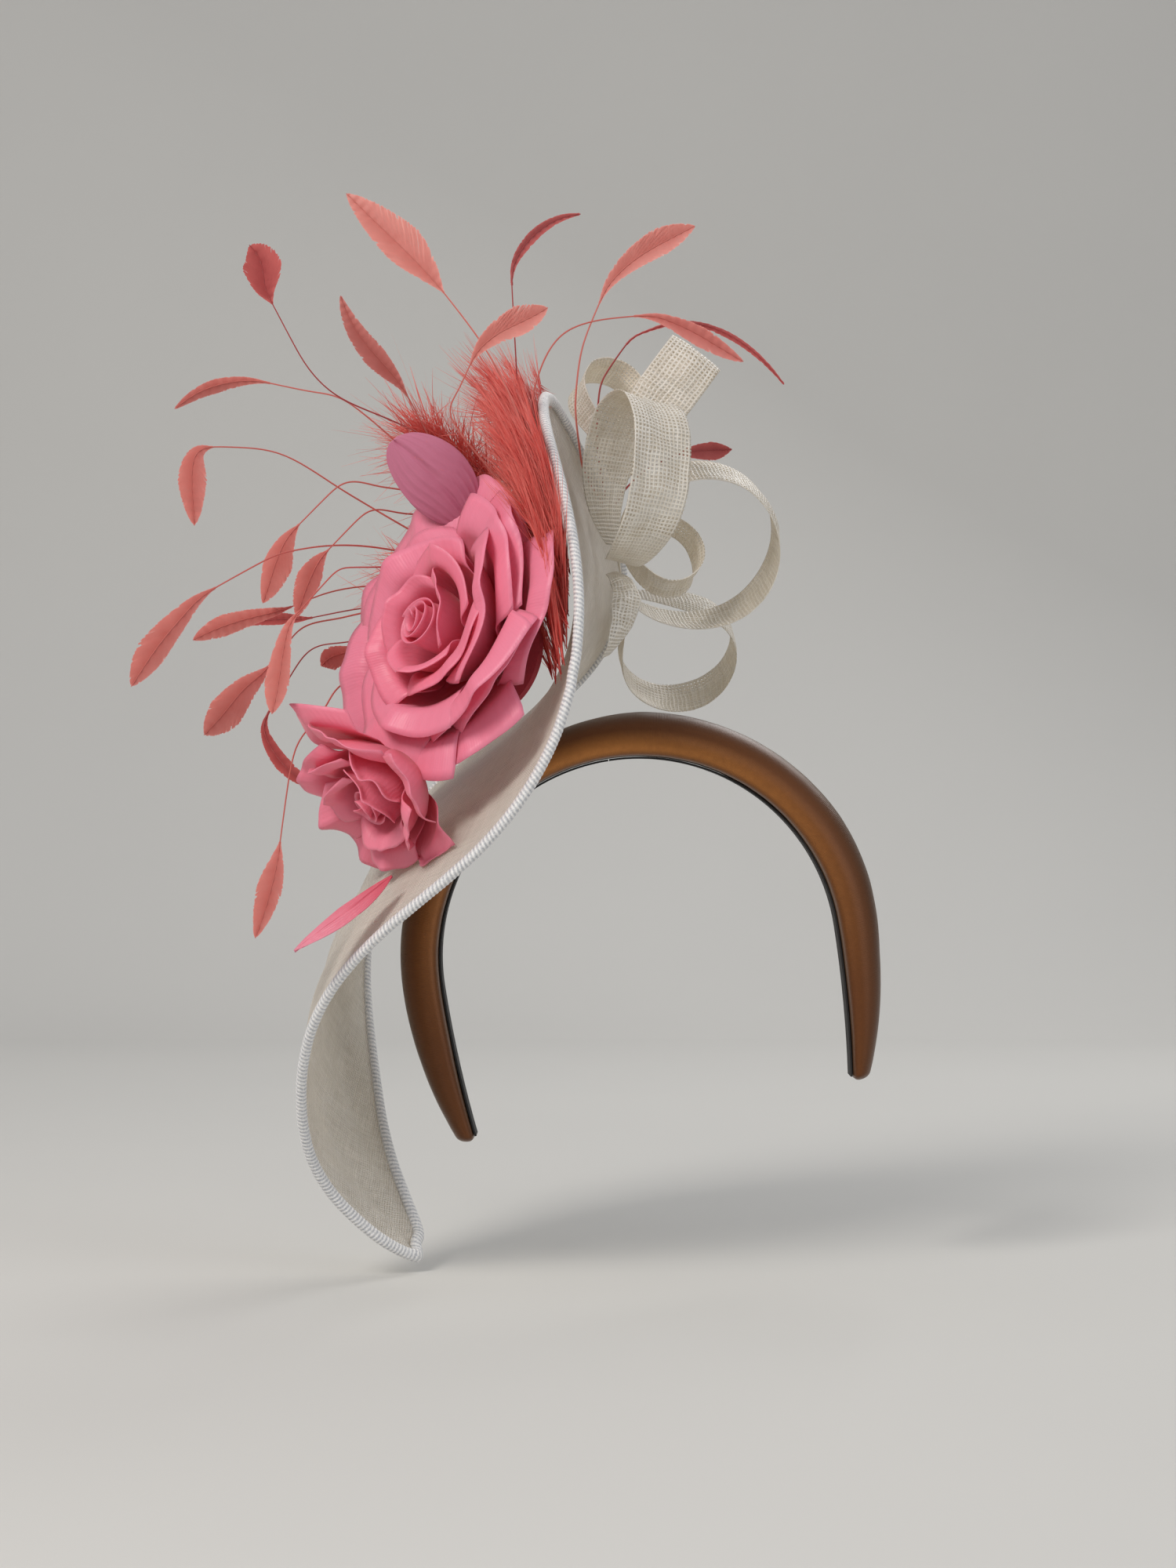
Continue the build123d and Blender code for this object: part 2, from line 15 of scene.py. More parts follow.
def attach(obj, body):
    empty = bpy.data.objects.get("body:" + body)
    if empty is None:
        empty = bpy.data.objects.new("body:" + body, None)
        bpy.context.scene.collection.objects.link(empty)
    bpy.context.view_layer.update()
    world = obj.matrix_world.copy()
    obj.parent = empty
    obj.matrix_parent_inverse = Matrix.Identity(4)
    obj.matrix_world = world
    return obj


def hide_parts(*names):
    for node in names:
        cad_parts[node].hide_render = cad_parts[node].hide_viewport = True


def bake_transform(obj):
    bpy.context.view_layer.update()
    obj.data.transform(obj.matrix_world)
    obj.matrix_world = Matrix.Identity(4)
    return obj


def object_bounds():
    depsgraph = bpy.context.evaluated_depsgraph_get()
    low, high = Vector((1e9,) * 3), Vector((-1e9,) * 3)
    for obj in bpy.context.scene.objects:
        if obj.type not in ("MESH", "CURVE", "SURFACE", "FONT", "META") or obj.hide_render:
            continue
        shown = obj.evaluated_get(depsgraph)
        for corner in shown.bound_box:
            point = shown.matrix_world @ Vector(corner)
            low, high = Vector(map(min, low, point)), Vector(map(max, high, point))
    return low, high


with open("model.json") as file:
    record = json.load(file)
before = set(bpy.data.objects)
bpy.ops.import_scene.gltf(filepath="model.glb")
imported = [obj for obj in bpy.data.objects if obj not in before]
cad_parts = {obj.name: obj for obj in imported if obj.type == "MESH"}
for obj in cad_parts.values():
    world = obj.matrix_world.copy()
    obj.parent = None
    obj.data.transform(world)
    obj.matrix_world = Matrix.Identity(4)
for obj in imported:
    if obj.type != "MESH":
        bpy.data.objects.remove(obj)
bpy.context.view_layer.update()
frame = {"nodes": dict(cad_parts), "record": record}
MM = 0.001
noise.seed_set(7)  # noise_vector is seeded from the clock otherwise

# driving sizes of the looks
BRIM_THREADS = 1.45 * MM       # from thread to thread
LOOP_THREADS = 1.6 * MM
TWILL_RIBS = 1.7 * MM
SATIN_RIBS = 0.55 * MM
BINDING_HALF = (2.55 * MM, 1.9 * MM)   # across the rim, and through it
THICKNESS = {"brim": 0.8 * MM, "ribbon": 0.35 * MM, "petal": 0.45 * MM, "leaf": 0.4 * MM}
RIM_COUNT = 2880               # points round the rim
CUP_PLACES = np.linspace(0, 1, 41)     # where the brim's bulge is measured
BAND_SIDES = 44
LOOP_ROWS, LOOP_COLUMNS = 160, 26
QUILL_COUNT = 200              # points along a feather
BARB_GAP = 0.28 * MM
BARB_STEPS = 6
LARGE_ROSE_SHIFT = (-12, -1, 5)        # millimetres from the middle of its backing
LARGE_HEART_SHIFT = (-9.5, -3, 5)
SMALL_ROSE_SHIFT = (5, 2, 6)
LONG_PETAL_TURN = 1.9          # towards the upper left of the small rose


# ---- small helpers
def unit(v):
    """Vectors at length one."""
    v = np.asarray(v, float)
    return v / np.maximum(norm(v, axis=-1, keepdims=True), 1e-12)


def grid_faces(rows, columns, wrap_rows=False, wrap_columns=False):
    """Quads of a grid of points, row by row."""
    r = np.arange(rows if wrap_rows else rows - 1)
    c = np.arange(columns if wrap_columns else columns - 1)
    r, c = np.meshgrid(r, c, indexing="ij")
    r2, c2 = (r + 1) % rows, (c + 1) % columns
    corners = (r * columns + c, r * columns + c2, r2 * columns + c2, r2 * columns + c)
    return np.stack(corners, -1).reshape(-1, 4)


def strip_faces(count, steps):
    """Quads of many separate strips, each a row of pairs of points."""
    faces = np.array([[2 * k, 2 * k + 1, 2 * k + 3, 2 * k + 2] for k in range(steps - 1)])
    return (faces[None] + (np.arange(count) * steps * 2)[:, None, None]).reshape(-1, 4)


def grid_uvs(down, across, shape):
    """UVs of a grid of points, from one value per row and one per column."""
    u = np.broadcast_to(down[:, None], shape)
    v = np.broadcast_to(across[None], shape)
    return np.stack([u, v], -1).reshape(-1, 2)


def merged(parts):
    """Several (points, faces, uvs) as one."""
    points, faces, uvs = [], [], []
    shift = 0
    for part_points, part_faces, part_uvs in parts:
        points.append(part_points)
        faces.append(part_faces + shift)
        uvs.append(part_uvs)
        shift += len(part_points)
    return np.concatenate(points), np.concatenate(faces), np.concatenate(uvs)


def link(thing):
    bpy.context.scene.collection.objects.link(thing)
    return thing


def add_mesh(name, points, faces, uvs, material, body="headpiece", slot=None, replaces=()):
    """A piece from points, quads and one UV per point."""
    mesh = bpy.data.meshes.new(name)
    mesh.from_pydata(np.asarray(points).tolist(), [], np.asarray(faces).tolist())
    layer = mesh.uv_layers.new(name="cloth")
    loops = np.zeros(len(mesh.loops), np.int32)
    mesh.loops.foreach_get("vertex_index", loops)
    layer.data.foreach_set("uv", np.asarray(uvs, float)[loops].ravel())
    mesh.polygons.foreach_set("use_smooth", [True] * len(mesh.polygons))
    mesh.materials.append(material)
    piece = link(bpy.data.objects.new(name, mesh))
    if body:
        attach(piece, body)
    for node in replaces:
        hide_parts(node)
    return piece


def thicken(piece, thickness):
    """Gives a sheet its thickness, half to each side."""
    shell = piece.modifiers.new("thickness", "SOLIDIFY")
    shell.thickness = thickness
    shell.offset = 0


def main_ways(cloud):
    """The middle of a cloud of points, and its long, wide and thin directions."""
    centre = cloud.mean(0)
    return centre, np.linalg.svd(cloud - centre, full_matrices=False)[2]


def node_points(node):
    """The mesh points of a CAD node."""
    mesh = frame["nodes"][node].data
    points = np.zeros(len(mesh.vertices) * 3)
    mesh.vertices.foreach_get("co", points)
    return points.reshape(-1, 3)


def joined(node):
    """A node's distinct points and the pairs of them that share an edge."""
    mesh = frame["nodes"][node].data
    keys = np.round(node_points(node) / (0.02 * MM)).astype(np.int64)
    distinct, back = np.unique(keys, axis=0, return_inverse=True)
    back = back.ravel()
    pairs = np.array([back[list(edge.vertices)] for edge in mesh.edges])
    return distinct * (0.02 * MM), pairs


def node_tree(*nodes):
    """One search tree over several nodes' faces."""
    points, faces = [], []
    for node in nodes:
        mesh = frame["nodes"][node].data
        shift = len(points)
        points += [v.co.copy() for v in mesh.vertices]
        faces += [[shift + i for i in p.vertices] for p in mesh.polygons]
    return BVHTree.FromPolygons(points, faces)


def smooth_line(points, count, closed=False):
    """Evenly spaced points along a Catmull-Rom curve through points."""
    points = np.asarray(points, float)
    if closed:
        padded = np.concatenate([points[-1:], points, points[:2]])
    else:
        padded = np.concatenate([2 * points[:1] - points[1:2], points, 2 * points[-1:] - points[-2:-1]])
    t = np.linspace(0, 1, 24, endpoint=False)[:, None]
    pieces = []
    for a, b, c, d in zip(padded, padded[1:], padded[2:], padded[3:]):
        square = (2 * a - 5 * b + 4 * c - d) * t**2
        cube = (3 * b - a - 3 * c + d) * t**3
        pieces.append(0.5 * (2 * b + (c - a) * t + square + cube))
    line = np.concatenate(pieces + [points[:1] if closed else points[-1:]])
    return even_line(line, count, closed)


def lengths(line):
    """How far along a line each of its points lies."""
    return np.concatenate([[0], np.cumsum(norm(np.diff(line, axis=0), axis=1))])


def even_line(line, count, closed=False):
    """The same line with evenly spaced points."""
    steps = lengths(line)
    places = np.linspace(0, steps[-1], count, endpoint=not closed)
    return np.stack([np.interp(places, steps, line[:, k]) for k in range(3)], -1)


def hump(t):
    """0 at both ends and 1 in the middle."""
    return np.sin(np.pi * np.clip(t, 0, 1))


def wobble(points, size, strength, seed=0.0):
    """Pushes points about by smooth noise."""
    out = np.array(points, float)
    for i, p in enumerate(out):
        v = noise.noise_vector(Vector(p / size) + Vector((seed, seed * 1.7, -seed)))
        out[i] += np.array(v) * strength
    return out


# ---- materials
class Shader:
    """A node material under construction."""

    def __init__(self, name):
        self.material = bpy.data.materials.new(name)
        self.material.use_nodes = True
        self.tree = self.material.node_tree
        self.tree.nodes.clear()
        self.out = self.tree.nodes.new("ShaderNodeOutputMaterial")

    def node(self, kind, inputs=None, **settings):
        made = self.tree.nodes.new(kind)
        for key, value in settings.items():
            setattr(made, key, value)
        for key, value in (inputs or {}).items():
            if isinstance(value, bpy.types.NodeSocket):
                self.tree.links.new(value, made.inputs[key])
            else:
                made.inputs[key].default_value = value
        return made

    def math(self, operation, a, b=0.0, c=0.0):
        return self.node("ShaderNodeMath", {0: a, 1: b, 2: c}, operation=operation).outputs[0]

    def plus(self, a, b):
        return self.math("ADD", a, b)

    def minus(self, a, b):
        return self.math("SUBTRACT", a, b)

    def times(self, a, b):
        return self.math("MULTIPLY", a, b)

    def uv(self):
        split = self.node("ShaderNodeSeparateXYZ", {0: self.node("ShaderNodeUVMap").outputs[0]})
        return split.outputs[0], split.outputs[1]

    def ramp(self, fac, stops):
        made = self.node("ShaderNodeValToRGB", {0: fac})
        marks = made.color_ramp.elements
        while len(marks) < len(stops):
            marks.new(0.5)
        for mark, (place, colour) in zip(marks, stops):
            mark.position = place
            mark.color = (*colour, 1)
        return made.outputs[0]

    def noise(self, scale, detail=3.0):
        place = self.node("ShaderNodeTexCoord").outputs["Object"]
        return self.node("ShaderNodeTexNoise", {"Vector": place, "Scale": scale, "Detail": detail}).outputs[0]

    def streaks(self, x, y):
        """Noise drawn out along one direction, from scaled coordinates."""
        place = self.node("ShaderNodeCombineXYZ", {0: x, 1: y}).outputs[0]
        return self.node("ShaderNodeTexNoise", {"Vector": place, "Scale": 1.0, "Detail": 2.0}).outputs[0]

    def mix(self, fac, a, b):
        made = self.node("ShaderNodeMix", data_type="RGBA")
        for socket, value in ((made.inputs[0], fac), (made.inputs[6], a), (made.inputs[7], b)):
            if isinstance(value, bpy.types.NodeSocket):
                self.tree.links.new(value, socket)
            else:
                socket.default_value = value if isinstance(value, float) else (*value, 1)
        return made.outputs[2]

    def bump(self, height, strength, distance):
        inputs = {"Height": height, "Strength": strength, "Distance": distance}
        return self.node("ShaderNodeBump", inputs).outputs[0]

    def body(self, colour, roughness, bump, more=None):
        """The main surface."""
        inputs = {"Base Color": colour, "Roughness": roughness, "Normal": bump, **(more or {})}
        return self.node("ShaderNodeBsdfPrincipled", inputs).outputs[0]

    def blended(self, share, first, second):
        """Two shaders mixed, by the share of the second."""
        return self.node("ShaderNodeMixShader", {0: share, 1: first, 2: second}).outputs[0]

    def finish(self, shader):
        self.tree.links.new(shader, self.out.inputs[0])
        return self.material


def thread_height(s, along, pitch):
    """1 on the middle of each thread and 0 between threads, for threads pitch apart."""
    wave = s.math("SINE", s.times(along, 2 * math.pi / pitch))
    return s.math("MULTIPLY_ADD", wave, 0.5, 0.5)


def sinamay(name, cover, colour, shade, pitch, diagonal=False):
    """Open plain weave of stiffened banana fibre. cover is the share of the cloth that is thread."""
    s = Shader(name)
    u, v = s.uv()
    drift = s.times(s.minus(s.noise(90.0), 0.5), 1.6 * pitch)
    if diagonal:
        u, v = s.plus(u, v), s.minus(u, v)
    u, v = s.plus(u, drift), s.plus(v, drift)
    height = s.math("MAXIMUM", thread_height(s, u, pitch), thread_height(s, v, pitch * 1.08))
    fibre = s.noise(2600.0, 2.0)
    frayed = s.plus(height, s.times(s.minus(fibre, 0.5), 0.30))
    solid = s.math("GREATER_THAN", frayed, 1 - cover)
    lengthways = s.streaks(s.times(u, 45.0), s.times(v, 620.0))
    crossways = s.streaks(s.times(u, 620.0), s.times(v, 45.0))
    uneven = s.times(s.minus(s.plus(lengthways, crossways), 1.0), 0.9)
    # painted shade: thread tops paler, gaps between threads darker; fibre noise and streaks are real tone
    tint = s.plus(s.plus(s.times(height, 0.60), s.times(fibre, 0.45)), uneven)
    patch = s.ramp(s.noise(25.0), [(0.35, colour), (0.75, tuple(c * 0.93 for c in colour))])
    bump = s.bump(height, 0.9, 0.35 * MM)
    body = s.body(s.mix(tint, shade, patch), 0.38, bump, {"Sheen Weight": 0.15, "Specular IOR Level": 0.6})
    glow = s.node("ShaderNodeBsdfTranslucent", {"Color": (0.92, 0.80, 0.58, 1.0), "Normal": bump})
    clear = s.node("ShaderNodeBsdfTransparent")
    return s.finish(s.blended(solid, clear.outputs[0], s.blended(0.28, body, glow.outputs[0])))


def silk(name, deep, pale, through=0.30):
    """Petal silk, darker at the foot (v = 0) and paler at the lip (v = 1)."""
    s = Shader(name)
    u, v = s.uv()
    middle = tuple(0.5 * (a + b) for a, b in zip(deep, pale))
    patch = s.times(s.minus(s.noise(120.0), 0.5), 0.35)
    # on the roses the darker foot is painted shade deep in the flower
    base = s.ramp(s.plus(v, patch), [(0.02, deep), (0.36, middle), (0.78, pale)])
    rib = s.math("SINE", s.times(u, 2 * math.pi * 60))
    place = s.node("ShaderNodeUVMap").outputs[0]
    crease = s.node("ShaderNodeTexWave", {"Vector": place, "Scale": 5.0, "Distortion": 6.0, "Detail": 3.0})
    height = s.plus(s.times(rib, 0.12), s.times(crease.outputs[1], 0.5))
    bump = s.bump(height, 0.22, 0.6 * MM)
    sheen = {"Sheen Weight": 0.25, "Sheen Roughness": 0.4, "Sheen Tint": (1.0, 0.85, 0.82, 1.0)}
    body = s.body(base, 0.42, bump, sheen)
    glow = s.node("ShaderNodeBsdfTranslucent", {"Color": base, "Normal": bump})
    return s.finish(s.blended(through, body, glow.outputs[0]))


def barb(name, deep, pale, through=0.40):
    """Feather barbs: deep at the quill (v = 0), pale towards the tips (v = 1)."""
    s = Shader(name)
    _, v = s.uv()
    patch = s.times(s.minus(s.noise(160.0), 0.5), 0.7)
    base = s.ramp(s.plus(v, patch), [(0.05, deep), (0.95, pale)])
    bump = s.bump(s.noise(1800.0), 0.15, 0.2 * MM)
    body = s.body(base, 0.45, bump, {"Sheen Weight": 0.5, "Sheen Tint": (1.0, 0.75, 0.7, 1.0)})
    glow = s.node("ShaderNodeBsdfTranslucent", {"Color": base})
    return s.finish(s.blended(through, body, glow.outputs[0]))


def satin(name, painted_highlight, colour, edge, crown):
    """Copper-brown satin, painted shade darkening its sides and grazing angles, and a painted highlight
    line near the head on either side of the crown, which lies at u = crown. Fine ribs run across it."""
    s = Shader(name)
    u, v = s.uv()
    rib = s.math("SINE", s.times(u, 2 * math.pi / SATIN_RIBS))
    slub = s.noise(500.0)
    grazing_shade = s.node("ShaderNodeLayerWeight", {"Blend": 0.42}).outputs[1]
    around = s.times(v, 12.5)
    # painted shade: darker towards both flanks, by the angle round the band
    tone = s.ramp(around, [(0.60, edge), (0.67, colour), (0.80, colour), (0.95, edge)])
    # painted highlight: a thin light line near the inner edge, fading out away from the crown
    line = s.ramp(around, [(0.64, (0, 0, 0)), (0.695, (1, 1, 1)), (0.78, (0, 0, 0))])
    beyond = s.math("DIVIDE", s.math("ABSOLUTE", s.minus(u, crown)), 0.16)
    near = s.math("MAXIMUM", s.minus(1.0, beyond), 0.0)
    base = s.mix(s.times(line, near), tone, painted_highlight)
    # painted shade: darker where the surface turns away from view
    base = s.mix(s.times(grazing_shade, 0.7), base, edge)
    base = s.mix(s.times(slub, 0.35), base, tuple(c * 0.55 for c in colour))
    bump = s.bump(s.plus(s.times(rib, 0.5), slub), 0.22, 0.25 * MM)
    more = {"Specular IOR Level": 0.3, "Metallic": 0.25, "Sheen Weight": 0.12,
            "Sheen Tint": (1.0, 0.65, 0.4, 1.0)}
    return s.finish(s.body(base, 0.36, bump, more))


def twill(name, shade, colour):
    """Slanting ribs of the rim's binding."""
    s = Shader(name)
    u, v = s.uv()
    rib = s.math("SINE", s.plus(s.times(u, 2 * math.pi / TWILL_RIBS), s.times(v, 952.0)))
    grain = s.noise(1400.0)
    tone = s.plus(s.times(rib, 0.22), s.times(grain, 0.95))
    base = s.ramp(tone, [(0.15, shade), (0.75, colour)])
    bump = s.bump(s.plus(s.times(rib, 0.2), grain), 0.4, 0.3 * MM)
    return s.finish(s.body(base, 0.6, bump, {"Sheen Weight": 0.4}))


def plain_cloth(name, colour, scale=1500.0, roughness=0.8, metallic=0.0):
    """Small or hidden material with a fine grain."""
    s = Shader(name)
    grain = s.noise(scale)
    base = s.mix(grain, tuple(c * 0.7 for c in colour), colour)
    bump = s.bump(grain, 0.3, 0.2 * MM)
    return s.finish(s.body(base, roughness, bump, {"Metallic": metallic}))


# ---- brim
def wire_centres():
    """The centres of the edge wire's rings."""
    points, pairs = joined("brim_edge_wire")
    length = norm(points[pairs[:, 0]] - points[pairs[:, 1]], axis=1)
    group = np.arange(len(points))
    short = pairs[length < 2.2 * MM]
    for _ in range(40):
        low = np.minimum(group[short[:, 0]], group[short[:, 1]])
        np.minimum.at(group, short[:, 0], low)
        np.minimum.at(group, short[:, 1], low)
    for name in np.unique(group):
        spot = points[group == name].mean(0)
        for other in np.unique(group[group > name]):
            if norm(points[group == other].mean(0) - spot) < 5 * MM:
                group[group == other] = name
    return np.array([points[group == name].mean(0) for name in np.unique(group)])


def round_order(centres):
    """The centres one after the other round the rim, from the top down the front."""
    left = list(range(len(centres)))
    order = [int(centres[:, 2].argmax())]
    left.remove(order[0])
    while left:
        last = centres[order[-1]]
        near = sorted(left, key=lambda i: norm(centres[i] - last))
        pick = near[0]
        if len(order) == 1:
            pick = min(near[:2], key=lambda i: centres[i][1])
        order.append(pick)
        left.remove(pick)
    return centres[order]


def rim_line():
    """The rim's centre line: the whole ring, its front part and its back part."""
    line = smooth_line(round_order(wire_centres()), RIM_COUNT, closed=True)
    line = np.roll(line, -int(line[:, 2].argmax()), axis=0)
    tail = int(line[:, 2].argmin())
    front, back = line[: tail + 1], np.concatenate([line[tail:], line[:1]])[::-1]
    return line, even_line(front, 401), even_line(back, 401)


RIM, RIM_FRONT, RIM_BACK = rim_line()


def at(line, t):
    """The points of a line at shares t of its length."""
    place = np.clip(np.asarray(t) * (len(line) - 1), 0, len(line) - 1)
    low = np.floor(place).astype(int)
    high = np.minimum(low + 1, len(line) - 1)
    share = (place - low)[..., None]
    return line[low] * (1 - share) + line[high] * share


def brim_out(t):
    """The way out of the brim's flower side."""
    a, b = np.clip(t - 0.02, 0, 1), np.clip(t + 0.02, 0, 1)
    along = (at(RIM_FRONT, b) + at(RIM_BACK, b)) - (at(RIM_FRONT, a) + at(RIM_BACK, a))
    return unit(np.cross(along, at(RIM_FRONT, t) - at(RIM_BACK, t)))


def brim_cups():
    """How far the CAD cloth bulges from the straight line between the rims, along the brim."""
    tree = node_tree("brim_cloth")
    cups = []
    for t in CUP_PLACES:
        middle = 0.5 * (at(RIM_FRONT, t) + at(RIM_BACK, t))
        out = brim_out(np.array(t))
        hit = tree.ray_cast(Vector(middle + out * 0.03), Vector(-out), 0.06)[0]
        cups.append(np.nan if hit is None else float((np.array(hit) - middle) @ out))
    cups = np.array(cups)
    cups[0] = cups[-1] = 0.0
    known = ~np.isnan(cups)
    return np.interp(CUP_PLACES, CUP_PLACES[known], cups[known])


CUPS = brim_cups()


def brim_points(t, w, lift=0.0):
    """Points of the brim at t down its length and w across it, from -1 at the back rim to 1."""
    cup = np.interp(t, CUP_PLACES, CUPS)[..., None]
    mid = at(RIM_BACK, t) + (at(RIM_FRONT, t) - at(RIM_BACK, t)) * ((w + 1) / 2)[..., None]
    return mid + brim_out(t) * (cup * (1 - w**2)[..., None] + lift)


def brim_surface():
    """Search tree over points of the brim, with each one's outward direction."""
    t, w = np.meshgrid(np.linspace(0.02, 0.98, 110), np.linspace(-0.98, 0.98, 60), indexing="ij")
    points = brim_points(t, w).reshape(-1, 3)
    tree = KDTree(len(points))
    for i, point in enumerate(points):
        tree.insert(point, i)
    tree.balance()
    return tree, points, brim_out(t).reshape(-1, 3)


SURFACE, SURFACE_POINTS, SURFACE_OUT = brim_surface()


def above_brim(points, gap):
    """Lifts points that lie under the brim's flower side out of it."""
    lifted = np.array(points, float)
    for i, point in enumerate(lifted):
        _, k, far = SURFACE.find(point)
        height = (point - SURFACE_POINTS[k]) @ SURFACE_OUT[k]
        if far < 20 * MM and height < gap:
            lifted[i] = point + SURFACE_OUT[k] * (gap - height)
    return lifted


def build_brim():
    """The sinamay sheet, with a slight buckle in it."""
    t = (1 - np.cos(np.pi * np.linspace(0.012, 0.988, 240))) / 2
    w = np.linspace(-0.985, 0.985, 96)
    tt, ww = np.meshgrid(t, w, indexing="ij")
    points = brim_points(tt, ww)
    points += brim_out(tt) * (0.5 * MM * np.sin(ww * 9 + tt * 31) * (1 - ww**2))[..., None]
    length = norm(np.diff(RIM_FRONT, axis=0), axis=1).sum()
    span = norm(at(RIM_FRONT, tt) - at(RIM_BACK, tt), axis=-1)
    uvs = np.stack([tt * length, ww * span / 2], -1)
    cloth = sinamay("brim_weave", 0.84, (0.99, 0.955, 0.90), (0.56, 0.52, 0.465), BRIM_THREADS, diagonal=True)
    piece = add_mesh("sinamay_brim", points.reshape(-1, 3), grid_faces(*tt.shape), uvs.reshape(-1, 2),
                     cloth, slot="sinamay", replaces=["brim_cloth"])
    thicken(piece, THICKNESS["brim"])


def rim_inward(along):
    """At each rim point, the way into the brim."""
    count = len(RIM)
    spots = np.arange(count)
    tail = int(RIM[:, 2].argmin())
    t = np.where(spots <= tail, spots / tail, 1 - (spots - tail) / (count - tail))
    inward = at(RIM_FRONT, t) + at(RIM_BACK, t) - 2 * RIM
    tip = norm(inward, axis=1, keepdims=True) < 4 * MM
    inward = np.where(tip, RIM.mean(0) - RIM, inward)
    inward = unit(inward - along * (inward * along).sum(1, keepdims=True))
    for _ in range(30):
        inward = unit(inward + np.roll(inward, 1, axis=0) + np.roll(inward, -1, axis=0))
    return inward


def build_binding():
    """A flat twill binding folded over the rim, its ribs slanting round the edge."""
    count, sides = len(RIM), 20
    ahead, behind = np.roll(RIM, -1, axis=0), np.roll(RIM, 1, axis=0)
    along = unit(ahead - behind)
    inward = rim_inward(along)
    flat = unit(np.cross(along, inward))
    turn = np.linspace(0, 2 * np.pi, sides, endpoint=False)
    place = np.arange(count) * norm(ahead - RIM, axis=1).mean()
    girth = 1 + 0.045 * np.sin(2 * np.pi * place[:, None] / TWILL_RIBS + turn[None] * 2.0)
    wide, thin = BINDING_HALF
    points = (RIM[:, None] + inward[:, None] * (wide * np.cos(turn)[None] * girth)[..., None]
              + inward[:, None] * 0.8 * MM + flat[:, None] * (thin * np.sin(turn)[None] * girth)[..., None])
    uvs = grid_uvs(place, turn * 2.1 * MM, (count, sides))
    material = twill("twill_binding", (0.42, 0.43, 0.46), (0.90, 0.885, 0.86))
    add_mesh("twill_rim_binding", points.reshape(-1, 3), grid_faces(count, sides, True, True),
             uvs, material, slot="binding", replaces=["brim_edge_binding"])


# ---- headband
def band_stations():
    """Places up one leg, over the crown and down the other, each with the way outwards."""
    drop = 64.2 * MM
    turn = Matrix.Rotation(-math.radians(9.0), 3, "Y")
    legs = np.linspace(0, 1, 34)[1:]
    stations = [((0, 0, -drop * k), (-1, 0, 0)) for k in legs[::-1]]
    for angle in np.linspace(-math.pi / 2, math.pi / 2, 121):
        stations.append(((0, 0, 0), (math.sin(angle), 0, math.cos(angle))))
    stations += [((0, 0, -drop * k), (1, 0, 0)) for k in legs]
    return [(turn @ Vector(place), (turn @ Vector(out)).normalized()) for place, out in stations]


def band_ring(tree, origin, out):
    """One cross-section of the cover, or None where the rays miss it."""
    wall = 0.6 * MM
    far = tree.ray_cast(origin + out * 0.14, -out, 0.10)[0]
    near = tree.ray_cast(origin, out, 0.14)[0]
    if far is None or near is None or (far - near).length < 4 * MM:
        return None
    middle = (far + near) * 0.5
    ring = []
    for k in range(BAND_SIDES):
        a = 2 * math.pi * k / BAND_SIDES
        way = out * math.cos(a) + Vector((0, 1, 0)) * math.sin(a)
        hit = tree.ray_cast(middle, way, 0.05)[0]
        if hit is None:
            return None
        ring.append(np.array(hit + way * wall))
    return np.array(ring)


def band_rings():
    """Cross-sections of the padded cover, measured from inside the CAD cover outwards."""
    tree = node_tree("satin_cover_left", "satin_cover_right")
    rings = [band_ring(tree, origin, out) for origin, out in band_stations()]
    good = [i for i, ring in enumerate(rings) if ring is not None]
    keys = np.arange(good[0], good[-1] + 1)
    stack = np.array([rings[i] for i in good])
    filled = [[np.interp(keys, good, stack[:, j, k]) for k in range(3)] for j in range(BAND_SIDES)]
    return np.array(filled).transpose(2, 0, 1)


def stub_length(rings):
    """How many rings at the start are much slimmer than those a little further in."""
    girth = norm(rings - rings.mean(1)[:, None], axis=-1).mean(1)
    count = 0
    while count < 6 and girth[count] < 0.86 * girth[count + 3]:
        count += 1
    return count


def smoothed_rings(rings):
    """The rings evened out along the band, without the stubs at its ends."""
    width = 9
    window = np.hanning(width + 2)[1:-1]
    window /= window.sum()
    size = np.pad(rings, ((width // 2, width // 2), (0, 0), (0, 0)), mode="edge")
    smooth = sum(size[k:k + len(rings)] * window[k] for k in range(width))
    rings[6:-6] = smooth[6:-6]
    return rings[stub_length(rings):len(rings) - stub_length(rings[::-1])]


def puffed(rings):
    """The padding swells outwards, where the brim leaves it room."""
    centres = rings.mean(1)
    free = np.clip((centres[:, 0] + 0.035) / 0.035, 0, 1) * np.clip(centres[:, 2] / 0.05, 0, 1)
    outward = np.maximum(np.cos(2 * np.pi * np.arange(BAND_SIDES) / BAND_SIDES), 0)
    rise = unit(centres * np.array([1, 0, 1]))
    return rings + rise[:, None] * (2.2 * MM * free[:, None] * outward[None])[..., None]


def rounded_end(ring, way):
    """Rings that close one end of the band, stepping the given way."""
    centre = ring.mean(0)
    step = unit(way.mean(0))
    turns = np.linspace(0, math.pi / 2 * 0.97, 7)[1:]
    return np.array([centre + (ring - centre) * math.cos(a) + step * (3.2 * MM * math.sin(a)) for a in turns])


